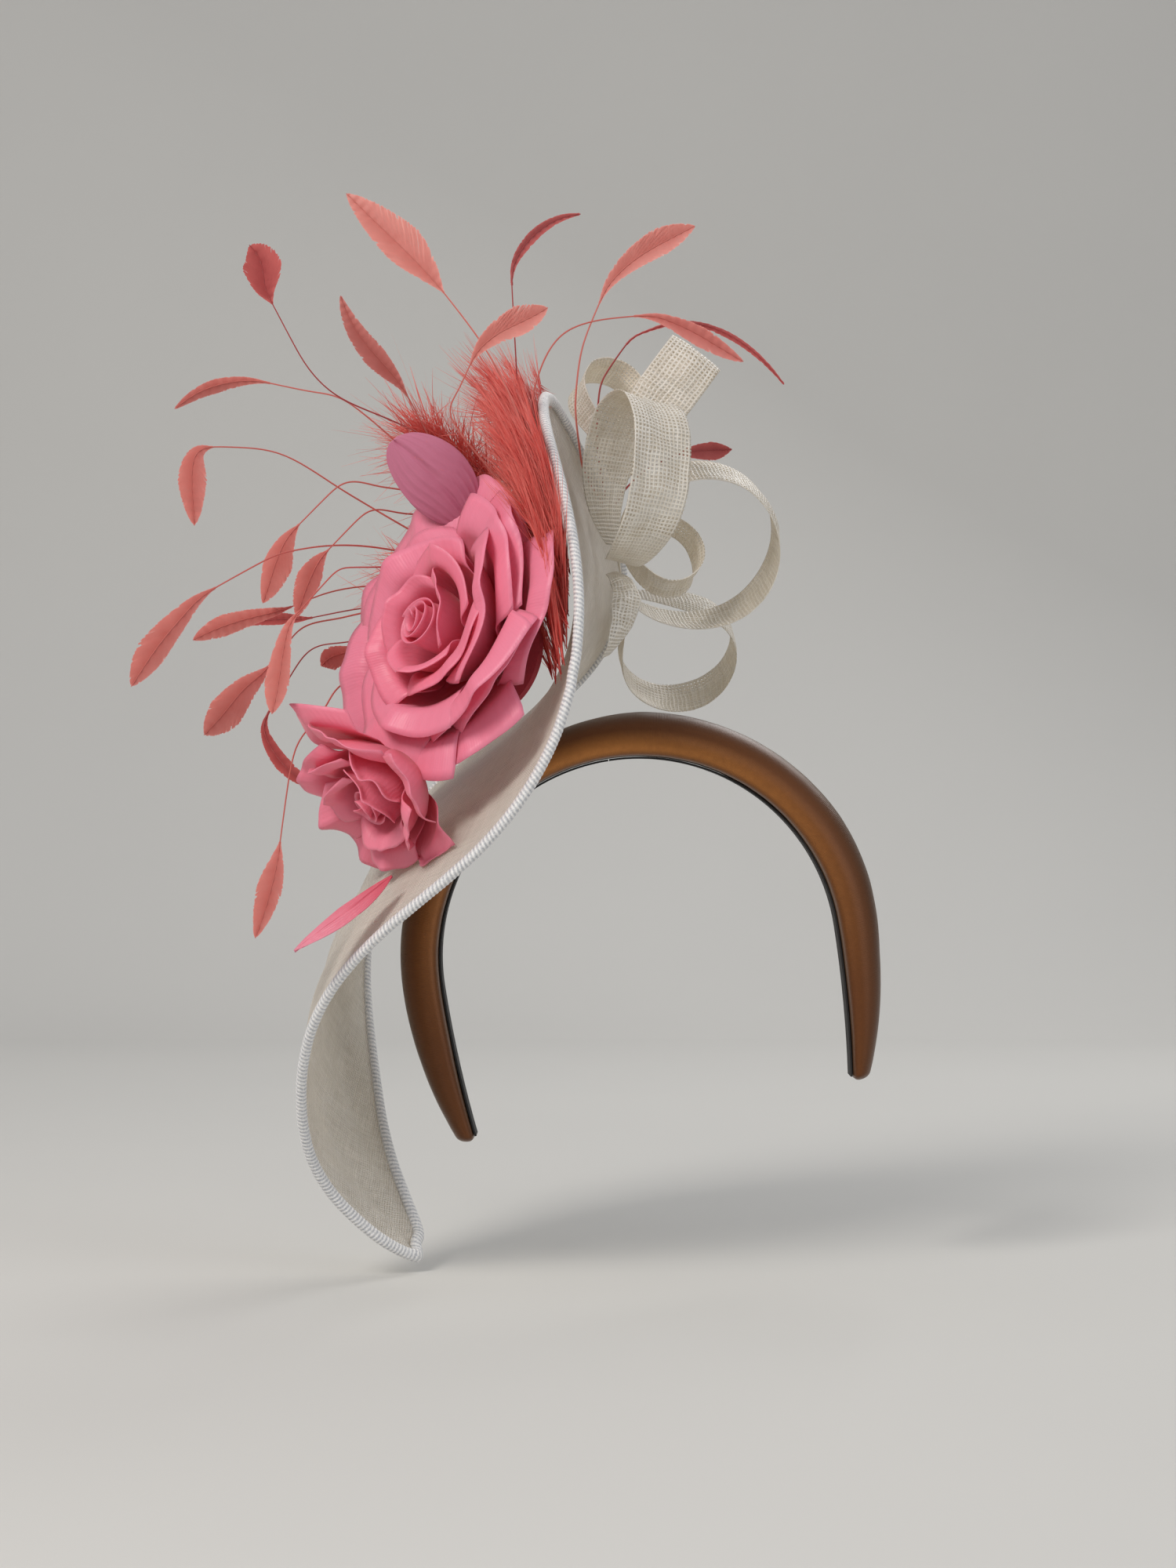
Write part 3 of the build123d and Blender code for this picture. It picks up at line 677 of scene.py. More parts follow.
def build_band():
    """The padded satin band, bending over the hinge at its crown."""
    rings = puffed(smoothed_rings(band_rings()))
    first = rounded_end(rings[0], rings[0] - rings[2])
    last = rounded_end(rings[-1], rings[-1] - rings[-3])
    rings = np.concatenate([first[::-1], rings, last])
    centres = rings.mean(1)
    place = lengths(centres)
    gather = np.array([noise.noise(Vector((p * 130, 0.3, 0))) for p in place])
    rings += (rings - centres[:, None]) * (0.012 * gather)[:, None, None]
    uvs = grid_uvs(place, np.arange(BAND_SIDES) / BAND_SIDES * 0.08, rings.shape[:2])
    # colours: painted highlight, the satin's own copper, and painted shade for its flanks
    material = satin("copper_satin", (0.54, 0.205, 0.044), (0.150, 0.048, 0.011), (0.026, 0.009, 0.004),
                     float(place[-1] / 2))
    faces = grid_faces(len(rings), BAND_SIDES, False, True)
    piece = add_mesh("padded_satin_band", rings.reshape(-1, 3), faces, uvs, material, body=None,
                     slot="satin", replaces=["satin_cover_left", "satin_cover_right"])
    soften = piece.modifiers.new("soften", "SUBSURF")
    soften.levels = 1
    soften.render_levels = 1
    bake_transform(piece)


# ---- sinamay loops
def islands(node):
    """A node's faces in connected groups, largest area first, with the group of each vertex."""
    mesh = frame["nodes"][node].data
    parent = np.arange(len(mesh.vertices))
    edges = np.array([tuple(e.vertices) for e in mesh.edges])
    for _ in range(len(mesh.vertices)):
        low = np.minimum(parent[edges[:, 0]], parent[edges[:, 1]])
        before = parent.copy()
        np.minimum.at(parent, edges[:, 0], low)
        np.minimum.at(parent, edges[:, 1], low)
        parent = parent[parent]
        if (before == parent).all():
            break
    area = {}
    for polygon in mesh.polygons:
        group = parent[polygon.vertices[0]]
        area[group] = area.get(group, 0) + polygon.area
    return sorted(area, key=lambda group: -area[group]), parent, edges


def spread(links, start):
    """Distance from one point to every other, along the edges of a mesh."""
    best = np.full(len(links), np.inf)
    best[start] = 0
    queue = [(0.0, start)]
    while queue:
        far, here = heapq.heappop(queue)
        if far > best[here]:
            continue
        for other, step in links[here]:
            if far + step < best[other]:
                best[other] = far + step
                heapq.heappush(queue, (best[other], other))
    return best


def neighbours(points, pairs):
    """For each point, the points it shares an edge with and how far away they are."""
    links = [[] for _ in points]
    for a, b in pairs:
        far = float(norm(points[a] - points[b]))
        links[a].append((b, far))
        links[b].append((a, far))
    return links


def wall_line(points, edges, members):
    """The centre line of a long thin strip of mesh, ordered by distance along its edges."""
    index = {int(v): i for i, v in enumerate(members)}
    inside = [(index[int(a)], index[int(b)]) for a, b in edges if int(a) in index and int(b) in index]
    links = neighbours(points[members], inside)
    away = spread(links, int(spread(links, 0).argmax()))
    bins = np.clip((away / away.max() * 46).astype(int), 0, 45)
    spots = points[members]
    return np.array([spots[bins == k].mean(0) for k in range(46) if (bins == k).any()])


def strip_rails(node):
    """The two long edges of a CAD ribbon, as two matched point rows."""
    ranked, parent, edges = islands(node)
    points = node_points(node)
    lines = [wall_line(points, edges, np.flatnonzero(parent == group)) for group in ranked[2:]]
    lines.sort(key=lambda line: -lengths(line)[-1])
    a, b = lines[:2]
    other = b[::-1]
    samples = [0.1, 0.25, 0.4, 0.6, 0.75, 0.9]

    def apart(line):
        return sum(norm(a[int(k * len(a))] - line[int(k * len(line))]) for k in samples)

    return (a, b) if apart(b) < apart(other) else (a, other)


def build_loop(node, material, k):
    """One ribbon, slightly crowned across and rippled along, between its two CAD edges."""
    a, b = strip_rails(node)
    a, b = smooth_line(a, LOOP_ROWS), smooth_line(b, LOOP_ROWS)
    across = np.linspace(0, 1, LOOP_COLUMNS)
    points = a[:, None] * (1 - across)[None, :, None] + b[:, None] * across[None, :, None]
    middle = points.mean(1)
    along = unit(np.gradient(middle, axis=0))
    out = unit(np.cross(along, unit(b - a)))
    t = np.linspace(0, 1, LOOP_ROWS)
    crown = 0.9 * MM * np.cos(np.pi * (across - 0.5))[None] * hump(t)[:, None]
    ripple = 0.5 * MM * np.sin(across * 9 + 3 * k)[None] * np.sin(t * 22 + k)[:, None] * hump(t)[:, None]
    points = points + out[:, None] * (crown + ripple)[..., None]
    wide = norm(b - a, axis=1).max()
    uvs = grid_uvs(lengths(middle), across * wide, points.shape[:2])
    piece = add_mesh(f"sinamay_{node}", points.reshape(-1, 3), grid_faces(LOOP_ROWS, LOOP_COLUMNS), uvs,
                     material, slot="loop_sinamay", replaces=[node])
    thicken(piece, THICKNESS["ribbon"])


def build_loops():
    material = sinamay("loop_weave", 0.70, (1.0, 0.975, 0.92), (0.56, 0.49, 0.38), LOOP_THREADS)
    names = ["front_loop", "upright_loop", "top_loop", "right_loop", "lower_loop", "middle_loop"]
    for k, node in enumerate(names + ["ribbon_tail"]):
        build_loop(node, material, k)


# ---- roses
def rose_seat(backing, bud, shift=(0, 0, 0)):
    """Centre and axis of a rose, from its backing disc."""
    centre, ways = main_ways(node_points(backing))
    axis = ways[-1]
    if (node_points(bud).mean(0) - centre) @ axis < 0:
        axis = -axis
    level = unit(np.cross([0, 0, 1], axis))
    return centre + np.array(shift) * MM, axis, level, np.cross(axis, level)


def around_seat(seat, radius, height, angle):
    """Points from their radius, height and angle about a rose's axis, in millimetres."""
    centre, axis, level, upright = seat
    return (centre + level * (radius * np.cos(angle) * MM)[..., None]
            + upright * (radius * np.sin(angle) * MM)[..., None] + axis * (height * MM)[..., None])


def petal_points(seat, turn, half, foot, belly, lip, roll, seed, notch=0.15, rows=26, columns=31):
    """A cupped petal whose lip rolls outwards. foot, belly and lip are each a radius and a height."""
    v, u = np.meshgrid(np.linspace(0, 1, rows), np.linspace(-1, 1, columns), indexing="ij")
    dimple = 0.05 * np.exp(-((u - 0.15) / 0.16) ** 2) - 0.03 * np.cos(u * 5 + seed)
    reach = v * (1 - notch * np.abs(u) ** 2.6 + dimple)
    q = 1 - reach
    radius = foot[0] * q * q + 2 * belly[0] * q * reach + lip[0] * reach**2
    height = foot[1] * q * q + 2 * belly[1] * q * reach + lip[1] * reach**2
    rise = unit(np.array([lip[0] - belly[0], lip[1] - belly[1]], float))
    curl = np.clip((v - 0.74) / 0.26, 0, 1) ** 1.5
    bend = curl * 2.5
    radius = radius + roll * (1 - np.cos(bend)) * rise[1] - roll * np.sin(bend) * 0.15 * rise[0]
    radius = radius + roll * 0.3 * curl
    height = height - roll * (1 - np.cos(bend)) * (0.55 + 0.45 * abs(rise[0]))
    fan = half * (0.50 + 0.50 * np.sin(np.pi / 2 * np.clip(v * 1.5, 0, 1))) * (1 - 0.30 * v**4)
    radius = radius * (1 + 0.12 * u * np.clip(v * 2, 0, 1)) + 0.5 * np.sin(u * 4 + seed * 3) * v**2
    radius = radius + 2.2 * (np.abs(u) ** 2) * v * 0.6
    height = height + 0.6 * np.sin(u * 3.3 + seed * 5) * v**2
    points = around_seat(seat, radius, height, turn + u * fan)
    points = wobble(points.reshape(-1, 3), 0.024, 1.5 * MM, seed)
    uvs = np.stack([u.ravel() * 0.5 + 0.5, v.ravel()], -1)
    return points, grid_faces(rows, columns), uvs


def heart_points(seat, inner, outer, low, high, turns, seed):
    """The rolled heart of a rose: one sheet wound outwards from inner to outer."""
    s, v = np.meshgrid(np.linspace(0, 1, int(turns * 44)), np.linspace(0, 1, 18), indexing="ij")
    radius = (inner + (outer - inner) * s) * (0.70 + 0.5 * np.sin(np.pi * (0.12 + 0.62 * v)))
    radius = radius + 1.5 * np.clip((v - 0.85) / 0.15, 0, 1) ** 2 + 0.35 * np.sin(s * 31 + seed)
    height = low + (high - low - 5 * s) * v + 1.2 * np.sin(s * turns * 7.5 + seed) * v
    points = around_seat(seat, radius, height, s * turns * 2 * np.pi + seed)
    uvs = np.stack([s.ravel() * turns, 0.35 + 0.65 * v.ravel()], -1)
    return points.reshape(-1, 3), grid_faces(*s.shape), uvs


def build_whorl(name, petals, material, node):
    """One ring of petals, or the heart, in place of its CAD node."""
    clear = [(above_brim(points, 1.5 * MM), faces, uvs) for points, faces, uvs in petals]
    piece = add_mesh(name, *merged(clear), material, slot="rose_silk", replaces=[node])
    thicken(piece, THICKNESS["petal"])


def large_rose_seat(shift):
    """The large rose is oval, as the brim squeezes it, and a little flatter than its CAD stand-in."""
    centre, axis, level, upright = rose_seat("large_rose_backing", "large_rose_bud", shift)
    return centre, axis * 0.90, level * 0.90, upright


def build_large_rose():
    petals = silk("rose_silk", (0.86, 0.060, 0.110), (1.0, 0.33, 0.47))
    # a darker copy of the petal silk for the heart and inner whorl: painted shade deep in the rose
    heart = silk("rose_heart_shaded_silk", (0.80, 0.046, 0.085), (1.0, 0.30, 0.43))
    seat = large_rose_seat(LARGE_HEART_SHIFT)
    third, quarter, fifth = 2 * np.pi / 3, 2 * np.pi / 4, 2 * np.pi / 5
    rolled = [heart_points(seat, 1.2, 8.5, 6, 40, 3.4, 0.4)]
    build_whorl("large_rose_heart", rolled, heart, "large_rose_bud")

    inner = []
    for k in range(3):
        lip = (14.5 + k, 41 - k * 0.6)
        inner.append(petal_points(seat, 0.5 + k * third, 1.45, (8, 5), (15 + k, 20), lip, 2.0, k))
    for k in range(3):
        lip = (22 + k, 39 - k)
        inner.append(petal_points(seat, 1.3 + k * third, 1.40, (10, 5), (21, 17), lip, 3.2, k + 9))
    build_whorl("large_rose_inner_whorl", inner, heart, "large_rose_inner_petals")

    middle = []
    for k in range(3):
        lip = (30 + k, 37 - k * 0.5)
        middle.append(petal_points(seat, 0.2 + k * third, 1.30, (12, 4), (29, 13), lip, 4.2, k + 20))
    for k in range(4):
        middle.append(petal_points(seat, 0.9 + k * quarter, 1.00, (13, 4), (35, 9), (39, 32), 5.0, k + 30))
    build_whorl("large_rose_middle_whorl", middle, petals, "large_rose_middle_petals")

    seat = large_rose_seat(LARGE_ROSE_SHIFT)
    outer = []
    for k, far in enumerate([50, 53, 55, 50, 47]):
        turn = 0.2 + k * fifth
        belly, lip = (far * 0.72, 5), (far - 6, 28)
        outer.append(petal_points(seat, turn + 0.6, 0.82, (14, 3), belly, lip, 5.4, k + 40))
        belly, lip = (far * 0.78, 0), (far, 21)
        outer.append(petal_points(seat, turn, 0.80, (15, 2), belly, lip, 5.0, k + 50, notch=0.20))
    build_whorl("large_rose_outer_whorl", outer, petals, "large_rose_outer_petals")


def build_small_rose():
    seat = rose_seat("small_rose_backing", "small_rose_bud", SMALL_ROSE_SHIFT)
    petals = silk("small_rose_silk", (0.80, 0.050, 0.090), (1.0, 0.32, 0.44))
    third, fifth = 2 * np.pi / 3, 2 * np.pi / 5
    rolled = [heart_points(seat, 0.8, 6.0, 4, 27, 2.6, 1.7)]
    build_whorl("small_rose_heart", rolled, petals, "small_rose_bud")

    inner = []
    for k in range(3):
        inner.append(petal_points(seat, 0.5 + k * third, 1.25, (7, 3), (13, 13), (12.5, 30), 1.6, k + 60))
    build_whorl("small_rose_inner_whorl", inner, petals, "small_rose_inner_petals")

    outer = []
    for k in range(5):
        turn = 0.1 + k * fifth
        outer.append(petal_points(seat, turn + 0.6, 0.78, (9, 3), (19, 9), (19, 30), 2.6, k + 70))
        outer.append(petal_points(seat, turn, 0.76, (10, 2), (23, 6), (26.5, 26), 3.0, k + 80, notch=0.14))
    outer.append(petal_points(seat, LONG_PETAL_TURN, 0.62, (10, 2), (27, 6), (40, 20), 3.4, 91, notch=0.20))
    build_whorl("small_rose_outer_whorl", outer, petals, "small_rose_outer_petals")


# ---- leaves
def build_leaf(node, name, material, blunt):
    """A silk leaf on the place of the CAD leaf: pleated, cupped and pointed."""
    cloud = node_points(node)
    centre, (along, across, out) = main_ways(cloud)
    place = (cloud - centre) @ along
    half = np.abs((cloud - centre) @ across).max()
    low, high = place.min(), place.max()
    rows, columns = 110, 121
    t, w = np.meshgrid(np.linspace(0, 1, rows), np.linspace(-1, 1, columns), indexing="ij")
    width = half * np.sin(np.pi * np.clip(t, 0.004, 0.996) ** 0.9) ** blunt
    spots = np.linspace(low, high, rows)
    middle = np.stack([np.polyval(np.polyfit(place, cloud[:, k], 2), spots) for k in range(3)], -1)
    pleats = 0.32 * MM * np.abs(np.sin(13 * w + 1.2 * np.sin(7 * t))) * np.clip(width / half, 0.2, 1)
    fold = 0.8 * MM * np.exp(-(w / 0.10) ** 2)
    cup = -0.22 * width * w**2 - pleats - fold
    points = middle[:, None] + across * (w * width)[..., None] + out * cup[..., None]
    points = wobble(points.reshape(-1, 3), 0.03, 1.2 * MM, 3.0)
    uvs = np.stack([w.ravel() * 0.5 + 0.5, t.ravel()], -1)
    piece = add_mesh(name, points, grid_faces(rows, columns), uvs, material, slot="leaf_silk",
                     replaces=[node])
    thicken(piece, THICKNESS["leaf"])


def build_leaves():
    mauve = silk("mauve_leaf_silk", (0.47, 0.095, 0.175), (0.66, 0.215, 0.33), 0.2)
    pink = silk("pink_leaf_silk", (0.80, 0.10, 0.16), (0.96, 0.34, 0.45))
    build_leaf("upper_silk_leaf", "mauve_upper_leaf", mauve, 0.45)
    build_leaf("lower_silk_leaf", "pink_lower_leaf", pink, 0.8)


# ---- feathers
def clusters(places, gap, span):
    """Splits sorted places into runs, at every gap and whenever a run grows longer than span."""
    order = np.argsort(places)
    runs, run = [], [order[0]]
    for i in order[1:]:
        if places[i] - places[run[-1]] > gap or places[i] - places[run[0]] > span:
            runs.append(run)
            run = []
        run.append(i)
    return [np.array(r) for r in runs + [run]]


def corners(line, tolerance):
    """The few points of a line that keep it within a tolerance."""
    chord = unit(line[-1] - line[0])
    offset = line - line[0]
    away = norm(offset - np.outer(offset @ chord, chord), axis=1)
    k = int(away.argmax())
    if len(line) < 3 or away[k] < tolerance:
        return line[[0, -1]]
    return np.concatenate([corners(line[:k + 1], tolerance)[:-1], corners(line[k:], tolerance)])


def blur(values, reach):
    """Values evened out over so many neighbours on each side."""
    window = np.hanning(2 * reach + 3)[1:-1]
    window /= window.sum()
    edges = [(reach, reach)] + [(0, 0)] * (values.ndim - 1)
    padded = np.pad(values, edges, mode="reflect", reflect_type="odd")
    return sum(padded[k:k + len(values)] * w for k, w in enumerate(window))


def quill_line(points, pairs, pivot):
    """A first centre line, from how far along the mesh each point lies from the hinge."""
    places = spread(neighbours(points, pairs), int(norm(points - pivot, axis=1).argmin()))
    places = np.where(np.isinf(places), 0, places)
    rough = np.array([points[run].mean(0) for run in clusters(places, 1.5 * MM, 5 * MM)])
    return blur(smooth_line(rough, QUILL_COUNT), 7)


def sideways(points, line):
    """For each point its place on the line and how far to the side it lies, with the side's way."""
    nearest = norm(points[:, None] - line[None], axis=-1).argmin(1)
    along = unit(np.gradient(line, axis=0))
    offset = points - line[nearest]
    offset = offset - along[nearest] * (offset * along[nearest]).sum(1, keepdims=True)
    far = norm(offset, axis=1)
    widest = far > 0.45 * far.max()
    way = np.linalg.svd(offset[widest], full_matrices=False)[2][0]
    face = unit(np.cross(way, along[int(np.median(nearest[widest]))]))
    ways = unit(np.cross(along, face))
    return nearest, ways, (offset * ways[nearest]).sum(1)


def feather_shape(node, pivot):
    """Centre line, width direction and half width along a CAD feather, and where its vane starts."""
    points, pairs = joined(node)
    last = QUILL_COUNT - 1
    line = quill_line(points, pairs, pivot)
    nearest, _, side = sideways(points, line)
    start = nearest[np.abs(side) > 0.9 * MM].min()
    vane = nearest >= start
    begin = line[start]
    spots = np.linspace(start, last, 14)[1:]
    middle = [np.polyval(np.polyfit(nearest[vane], points[vane, k], 3), spots) for k in range(3)]
    bends = np.concatenate([corners(line[:start + 1], 0.5 * MM), np.stack(middle, -1)])
    line = blur(smooth_line(bends, QUILL_COUNT), 11)
    nearest, ways, side = sideways(points, line)
    start = max(4, int(norm(line - begin, axis=1).argmin()) - 5)
    chosen = nearest > start
    width = np.percentile(np.abs(side[chosen]), 97)
    widest = np.median(nearest[chosen & (np.abs(side) > 0.9 * width)])
    peak = np.clip((widest - start) / (last - start), 0.25, 0.75)
    v = np.clip((np.arange(QUILL_COUNT) - start) / (last - start), 0, 1)
    rise = np.minimum(v / peak, ((1 - v) / (1 - peak)) ** 0.72)
    half = width * (0.40 * rise + 0.60 * np.sin(np.pi / 2 * rise))
    return line, ways, np.maximum(half, 0.3 * MM), start / last


def quill(line, way, up):
    """The tapering quill as a thin six-sided tube."""
    sides = 6
    share = np.linspace(0, 1, QUILL_COUNT)
    turn = np.linspace(0, 2 * np.pi, sides, endpoint=False)
    girth = (0.46 - 0.26 * share) * MM
    points = (line[:, None] + way[:, None] * (girth[:, None] * np.cos(turn))[..., None]
              + up[:, None] * (girth[:, None] * np.sin(turn))[..., None])
    faces = grid_faces(QUILL_COUNT, sides, False, True)
    return points.reshape(-1, 3), faces, np.zeros((QUILL_COUNT * sides, 2))


def barb_sizes(vane, slope, outline, reach):
    """How long each barb grows before it meets the vane's outline. slope is how far it leans ahead."""
    tries = np.linspace(0, 1, 60)[None] * reach
    ahead = vane[:, None] + tries * slope[:, None]
    room = np.interp(ahead, np.linspace(0, 1, QUILL_COUNT), outline) * np.where(ahead < 0.998, 1.0, 0.0)
    inside = np.where(tries <= np.maximum(room, 0.0), tries, 0)
    return np.maximum(inside.max(1), 0.35 * MM)


def vane_barbs(shape, up, sign, seed, local):
    """The barbs on one side of the quill, each a thin strip that leans towards the tip."""
    line, way, half, start = shape
    length = lengths(line)[-1]
    last = QUILL_COUNT - 1
    vane = np.linspace(start, 0.994, int(length * (1 - start) / BARB_GAP))
    count = len(vane)
    local_v = (vane - start) / (1 - start)
    slant = 1.15 + 0.5 * local_v + 0.10 * local.standard_normal(count)
    outline = half * (1 + sign * 0.16 * math.sin(seed * 2.3))
    size = barb_sizes(vane, slant / length, outline, half.max() * 1.2) * (1 - 0.05 * local.random(count))
    size = size * (1 - 0.12 * (np.sin(local_v * 19 + seed) > 0.965))
    t = np.linspace(0, 1, BARB_STEPS)[None, :]
    x = size[:, None] * t
    place = np.clip(vane[:, None] + x * slant[:, None] / length * (0.85 + 0.15 * t), 0, 0.9995)
    cupping = 0.10 * MM * np.sin(place * 300 + seed) - x * (0.14 + 0.10 * x / half.max())
    strand = at(line, place) + at(way, place) * (sign * x)[..., None] + at(up, place) * cupping[..., None]
    lift = up[np.minimum((vane * last).astype(int), last - 1)]
    fan = (0.36 * MM * (1 - 0.35 * np.linspace(0, 1, BARB_STEPS) ** 3))[None, :, None]
    across = unit(np.cross(unit(np.gradient(strand, axis=1)), lift[:, None]))
    edges = [strand - across * fan, strand + across * fan + lift[:, None] * (0.07 * MM)]
    cells = np.stack(edges, 2).reshape(-1, 3)
    tint = np.repeat(np.linspace(0.1, 1, BARB_STEPS), 2)
    uvs = grid_uvs(local.random(count), tint, (count, BARB_STEPS * 2))
    return cells, strip_faces(count, BARB_STEPS), uvs


def build_feather(node, body, pivot, material, seed):
    """One trimmed feather: a bare quill with a vane of separate barbs at its end."""
    shape = feather_shape(node, pivot)
    line, way = shape[:2]
    up = np.cross(unit(np.gradient(line, axis=0)), way)
    local = np.random.default_rng(seed)
    parts = [quill(line, way, up)]
    for sign in (-1, 1):
        parts.append(vane_barbs(shape, up, sign, seed, local))
    add_mesh(f"plume_{node}", *merged(parts), material, body=body, slot="feather", replaces=[node])


def build_feathers():
    coral = barb("feather_coral", (0.74, 0.20, 0.165), (0.86, 0.34, 0.295))
    dark = barb("feather_red", (0.44, 0.050, 0.050), (0.66, 0.135, 0.125), 0.25)
    pale = barb("feather_pale", (0.80, 0.27, 0.225), (0.90, 0.42, 0.365), 0.45)
    tones = {f"feather_{k:02d}": dark for k in (1, 10, 13, 16, 20, 21)}
    tones.update({f"feather_{k:02d}": pale for k in (2, 17, 19)})
    hinges = {}
    bodies = frame["record"]["behaviour"]["bodies"]
    for joint in frame["record"]["behaviour"]["joints"]:
        for node in bodies[joint["child"]]:
            hinges[node] = (joint["child"], np.array(joint["pos_m"]))
    nodes = [name for name in frame["nodes"] if name.startswith("feather_") and name != "feather_ties"]
    for k, node in enumerate(sorted(nodes)):
        body, pivot = hinges[node]
        build_feather(node, body, pivot, tones.get(node, coral), 11 + k)


# ---- hackles
def strand_mesh(name, strands, material, local, node):
    """Soft barbs as thin tapering strips. strands holds their roots, aims, bends and half widths."""
    root, aim, bend, half_width = strands
    count = len(root)
    share = np.linspace(0, 1, BARB_STEPS)
    t = share[None, :, None]
    strand = root[:, None] + aim[:, None] * t + bend[:, None] * t**2
    direction = unit(np.gradient(strand, axis=1))
    side = unit(np.cross(direction, unit(local.standard_normal((count, 3)))[:, None]))
    fan = (half_width * (1 - share ** 2 * 0.85))[..., None]
    cells = np.stack([strand - side * fan, strand + side * fan], 2).reshape(-1, 3)
    uvs = grid_uvs(local.random(count), np.repeat(share, 2), (count, BARB_STEPS * 2))
    add_mesh(name, cells, strip_faces(count, BARB_STEPS), uvs, material, slot="hackle", replaces=[node])


def behind_petals(spot, rose, axis):
    """True where a point lies under or outside the large rose's petals."""
    height = (spot - rose) @ axis
    radius = norm(spot - rose - height[:, None] * axis, axis=1)
    under = np.maximum((radius - 44 * MM) * 1.3, -2 * MM)
    return (height < under) | (radius > 58 * MM)


def rim_plume(local, barbs):
    """One plume that stands on the brim near its front rim: roots, aims, bends and half widths."""
    rose, axis, _, _ = large_rose_seat(LARGE_ROSE_SHIFT)
    axis = unit(axis)
    t0 = local.uniform(0.08, 0.37)
    w0 = 0.965 - 0.62 * local.random() ** 1.6
    foot = brim_points(np.array([t0]), np.array([w0]), 3.0 * MM)[0]
    out = brim_out(np.array(t0))
    ahead = unit(brim_points(np.array([t0 - 0.08]), np.array([w0]), 3.0 * MM)[0] - foot)
    stray = local.standard_normal(3) * 0.10
    lean = unit(ahead + np.array([0, 0, 0.25]) + out * local.uniform(0.06, 0.34) + stray)
    tall = local.uniform(0.020, 0.050)
    s = local.random(barbs)
    place = foot + lean * (tall * s)[:, None] + out * (4 * MM * s**2)[:, None]
    away = unit(local.standard_normal((barbs, 3)))
    away = unit(away - lean * (away @ lean)[:, None])
    away = away - out * (1.6 * np.minimum(away @ out, 0))[:, None]
    size = local.uniform(0.012, 0.024, (barbs, 1)) * (0.6 + 0.6 * hump(s * 0.9)[:, None])
    aim = (away * (0.34 + 0.30 * s[:, None]) + lean * 0.88) * size
    bend = lean * size * 0.3
    free = behind_petals(place, rose, axis) & behind_petals(place + aim + bend, rose, axis)
    width = local.uniform(0.09, 0.22, (barbs, 1)) * MM
    return place[free], aim[free], bend[free], width[free]


def build_rim_fluff(material, plumes=88, barbs=140):
    """Hackle plumes laid up the flower side of the brim, between the large rose and the front rim."""
    local = np.random.default_rng(21)
    made = [rim_plume(local, barbs) for _ in range(plumes)]
    strands = [np.concatenate(part) for part in zip(*made)]
    strand_mesh("rim_hackle", strands, material, local, "rim_plume")


def build_plume(node, name, count, length, material, seed):
    """Soft hackle barbs that spring out of a CAD plume pad."""
    local = np.random.default_rng(seed)
    cloud = node_points(node)
    centre, (along, _, _) = main_ways(cloud)
    tie = node_points("feather_ties").mean(0)
    if (centre - tie) @ along < 0:
        along = -along
    pick = cloud[local.integers(0, len(cloud), count)]
    toward = cloud[local.integers(0, len(cloud), count)]
    root = pick + (toward - pick) * local.random((count, 1)) * 0.7
    away = unit(root - (centre - along * 0.06))
    aim = unit(away + local.standard_normal((count, 3)) * 0.42)
    aim = aim * (length * local.uniform(0.5, 1.15, (count, 1)))
    sag = np.array([0, 0, -1.0]) * (length * local.uniform(0.0, 0.25, (count, 1)))
    curl = local.standard_normal((count, 3)) * length * 0.22
    width = local.uniform(0.12, 0.28, (count, 1)) * MM
    strand_mesh(name, (root, aim, sag + curl, width), material, local, node)


def build_hackles():
    material = barb("hackle_coral", (0.66, 0.055, 0.045), (0.90, 0.22, 0.18), 0.35)
    build_rim_fluff(material)
    build_plume("upper_plume", "upper_hackle", 2600, 0.028, material, 5)
    build_plume("left_plume", "left_hackle", 1100, 0.022, material, 8)


# ---- plain pieces kept from the frame
def build_kept():
    kept = {
        "lining": plain_cloth("black_grosgrain", (0.022, 0.020, 0.020), 1800.0, 0.75),
        "foam": plain_cloth("open_foam", (0.80, 0.76, 0.62), 900.0, 0.95),
        "spring_strip": plain_cloth("spring_strip_steel", (0.55, 0.56, 0.58), 3000.0, 0.3, 1.0),
        "edge_wire": plain_cloth("edge_wire_steel", (0.70, 0.70, 0.70), 3000.0, 0.35, 1.0),
        "backing": plain_cloth("rose_felt", (0.72, 0.13, 0.17), 1200.0, 0.95),
        "ties": plain_cloth("tie_binding", (0.80, 0.72, 0.64), 1500.0, 0.8),
    }
    for node, obj in frame["nodes"].items():
        for word, material in kept.items():
            if word in node:
                obj.data.materials.clear()
                obj.data.materials.append(material)


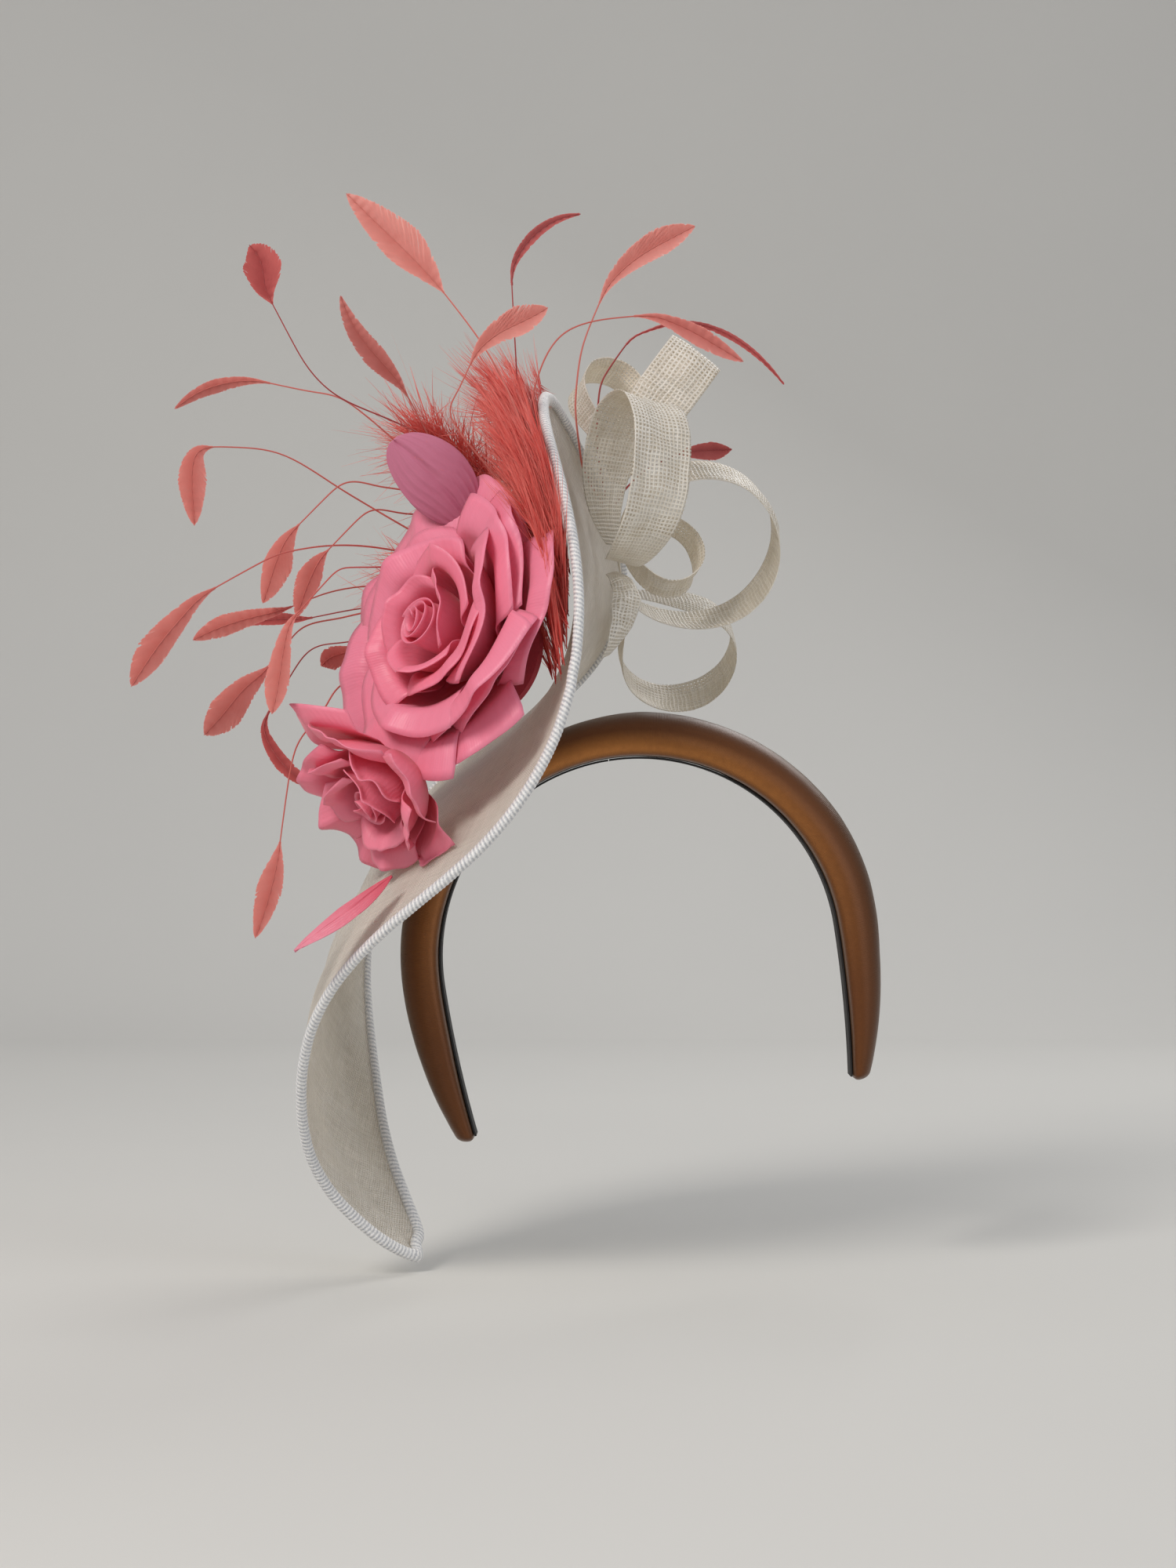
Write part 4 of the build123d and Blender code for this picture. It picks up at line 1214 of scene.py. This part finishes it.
# ---- studio
def build_sweep():
    """A pale floor that turns up into a wall behind the headpiece."""
    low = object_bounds()[0][2] - 4 * MM
    s = Shader("studio_paper")
    base = s.mix(s.noise(3.0), (0.62, 0.61, 0.585), (0.66, 0.65, 0.62))
    paper = s.finish(s.node("ShaderNodeBsdfPrincipled", {"Base Color": base, "Roughness": 0.9}).outputs[0])
    reach, bend, back, top = 9.0, 0.5, 1.0, 2.6
    profile = [(-reach, low), (back, low)]
    for angle in np.linspace(0, math.pi / 2, 12):
        profile.append((back + bend * math.sin(angle), low + bend * (1 - math.cos(angle))))
    profile.append((back + bend, top))
    points = [(x, y, z) for y, z in profile for x in (-reach, reach)]
    uvs = np.zeros((len(points), 2))
    floor = add_mesh("studio_sweep", points, grid_faces(len(profile), 2), uvs, paper, body=None)


def add_light(name, place, target, size, power, colour=(1, 1, 1)):
    """A soft rectangular light aimed at a target."""
    light = bpy.data.lights.new(name, "AREA")
    light.shape = "RECTANGLE"
    light.size, light.size_y = size
    light.energy = power
    light.color = colour
    lamp = link(bpy.data.objects.new(name, light))
    lamp.location = place
    lamp.rotation_euler = (Vector(target) - Vector(place)).to_track_quat("-Z", "Y").to_euler()


def build_lights():
    add_light("key_light", (-0.9, -1.1, 1.2), (-0.05, 0, 0.08), (0.6, 0.6), 19, (1.0, 0.96, 0.91))
    add_light("fill_light", (1.2, -0.9, 0.5), (0, 0, 0.05), (1.0, 1.2), 4.5, (0.95, 0.97, 1.0))
    add_light("rim_light", (0.5, 0.9, 0.9), (0, 0, 0.1), (0.8, 0.6), 5)
    world = bpy.data.worlds.new("soft_room")
    world.use_nodes = True
    background = world.node_tree.nodes["Background"]
    background.inputs[0].default_value = (0.93, 0.95, 1.0, 1)
    background.inputs[1].default_value = 0.40
    bpy.context.scene.world = world
    bpy.context.scene.view_settings.view_transform = "Standard"


def build_camera():
    """Level with the middle of the headpiece, straight in front of the wearer."""
    camera = link(bpy.data.objects.new("camera", bpy.data.cameras.new("camera")))
    camera.data.sensor_fit = "VERTICAL"
    camera.data.sensor_height = 36
    camera.data.lens = 64
    camera.location = (-0.0204, -1.1, 0.068)
    camera.rotation_euler = (math.pi / 2, 0, 0)
    bpy.context.scene.camera = camera


build_brim()
build_binding()
build_band()
build_loops()
build_large_rose()
build_small_rose()
build_leaves()
build_feathers()
build_hackles()
build_kept()
build_sweep()
build_lights()
build_camera()
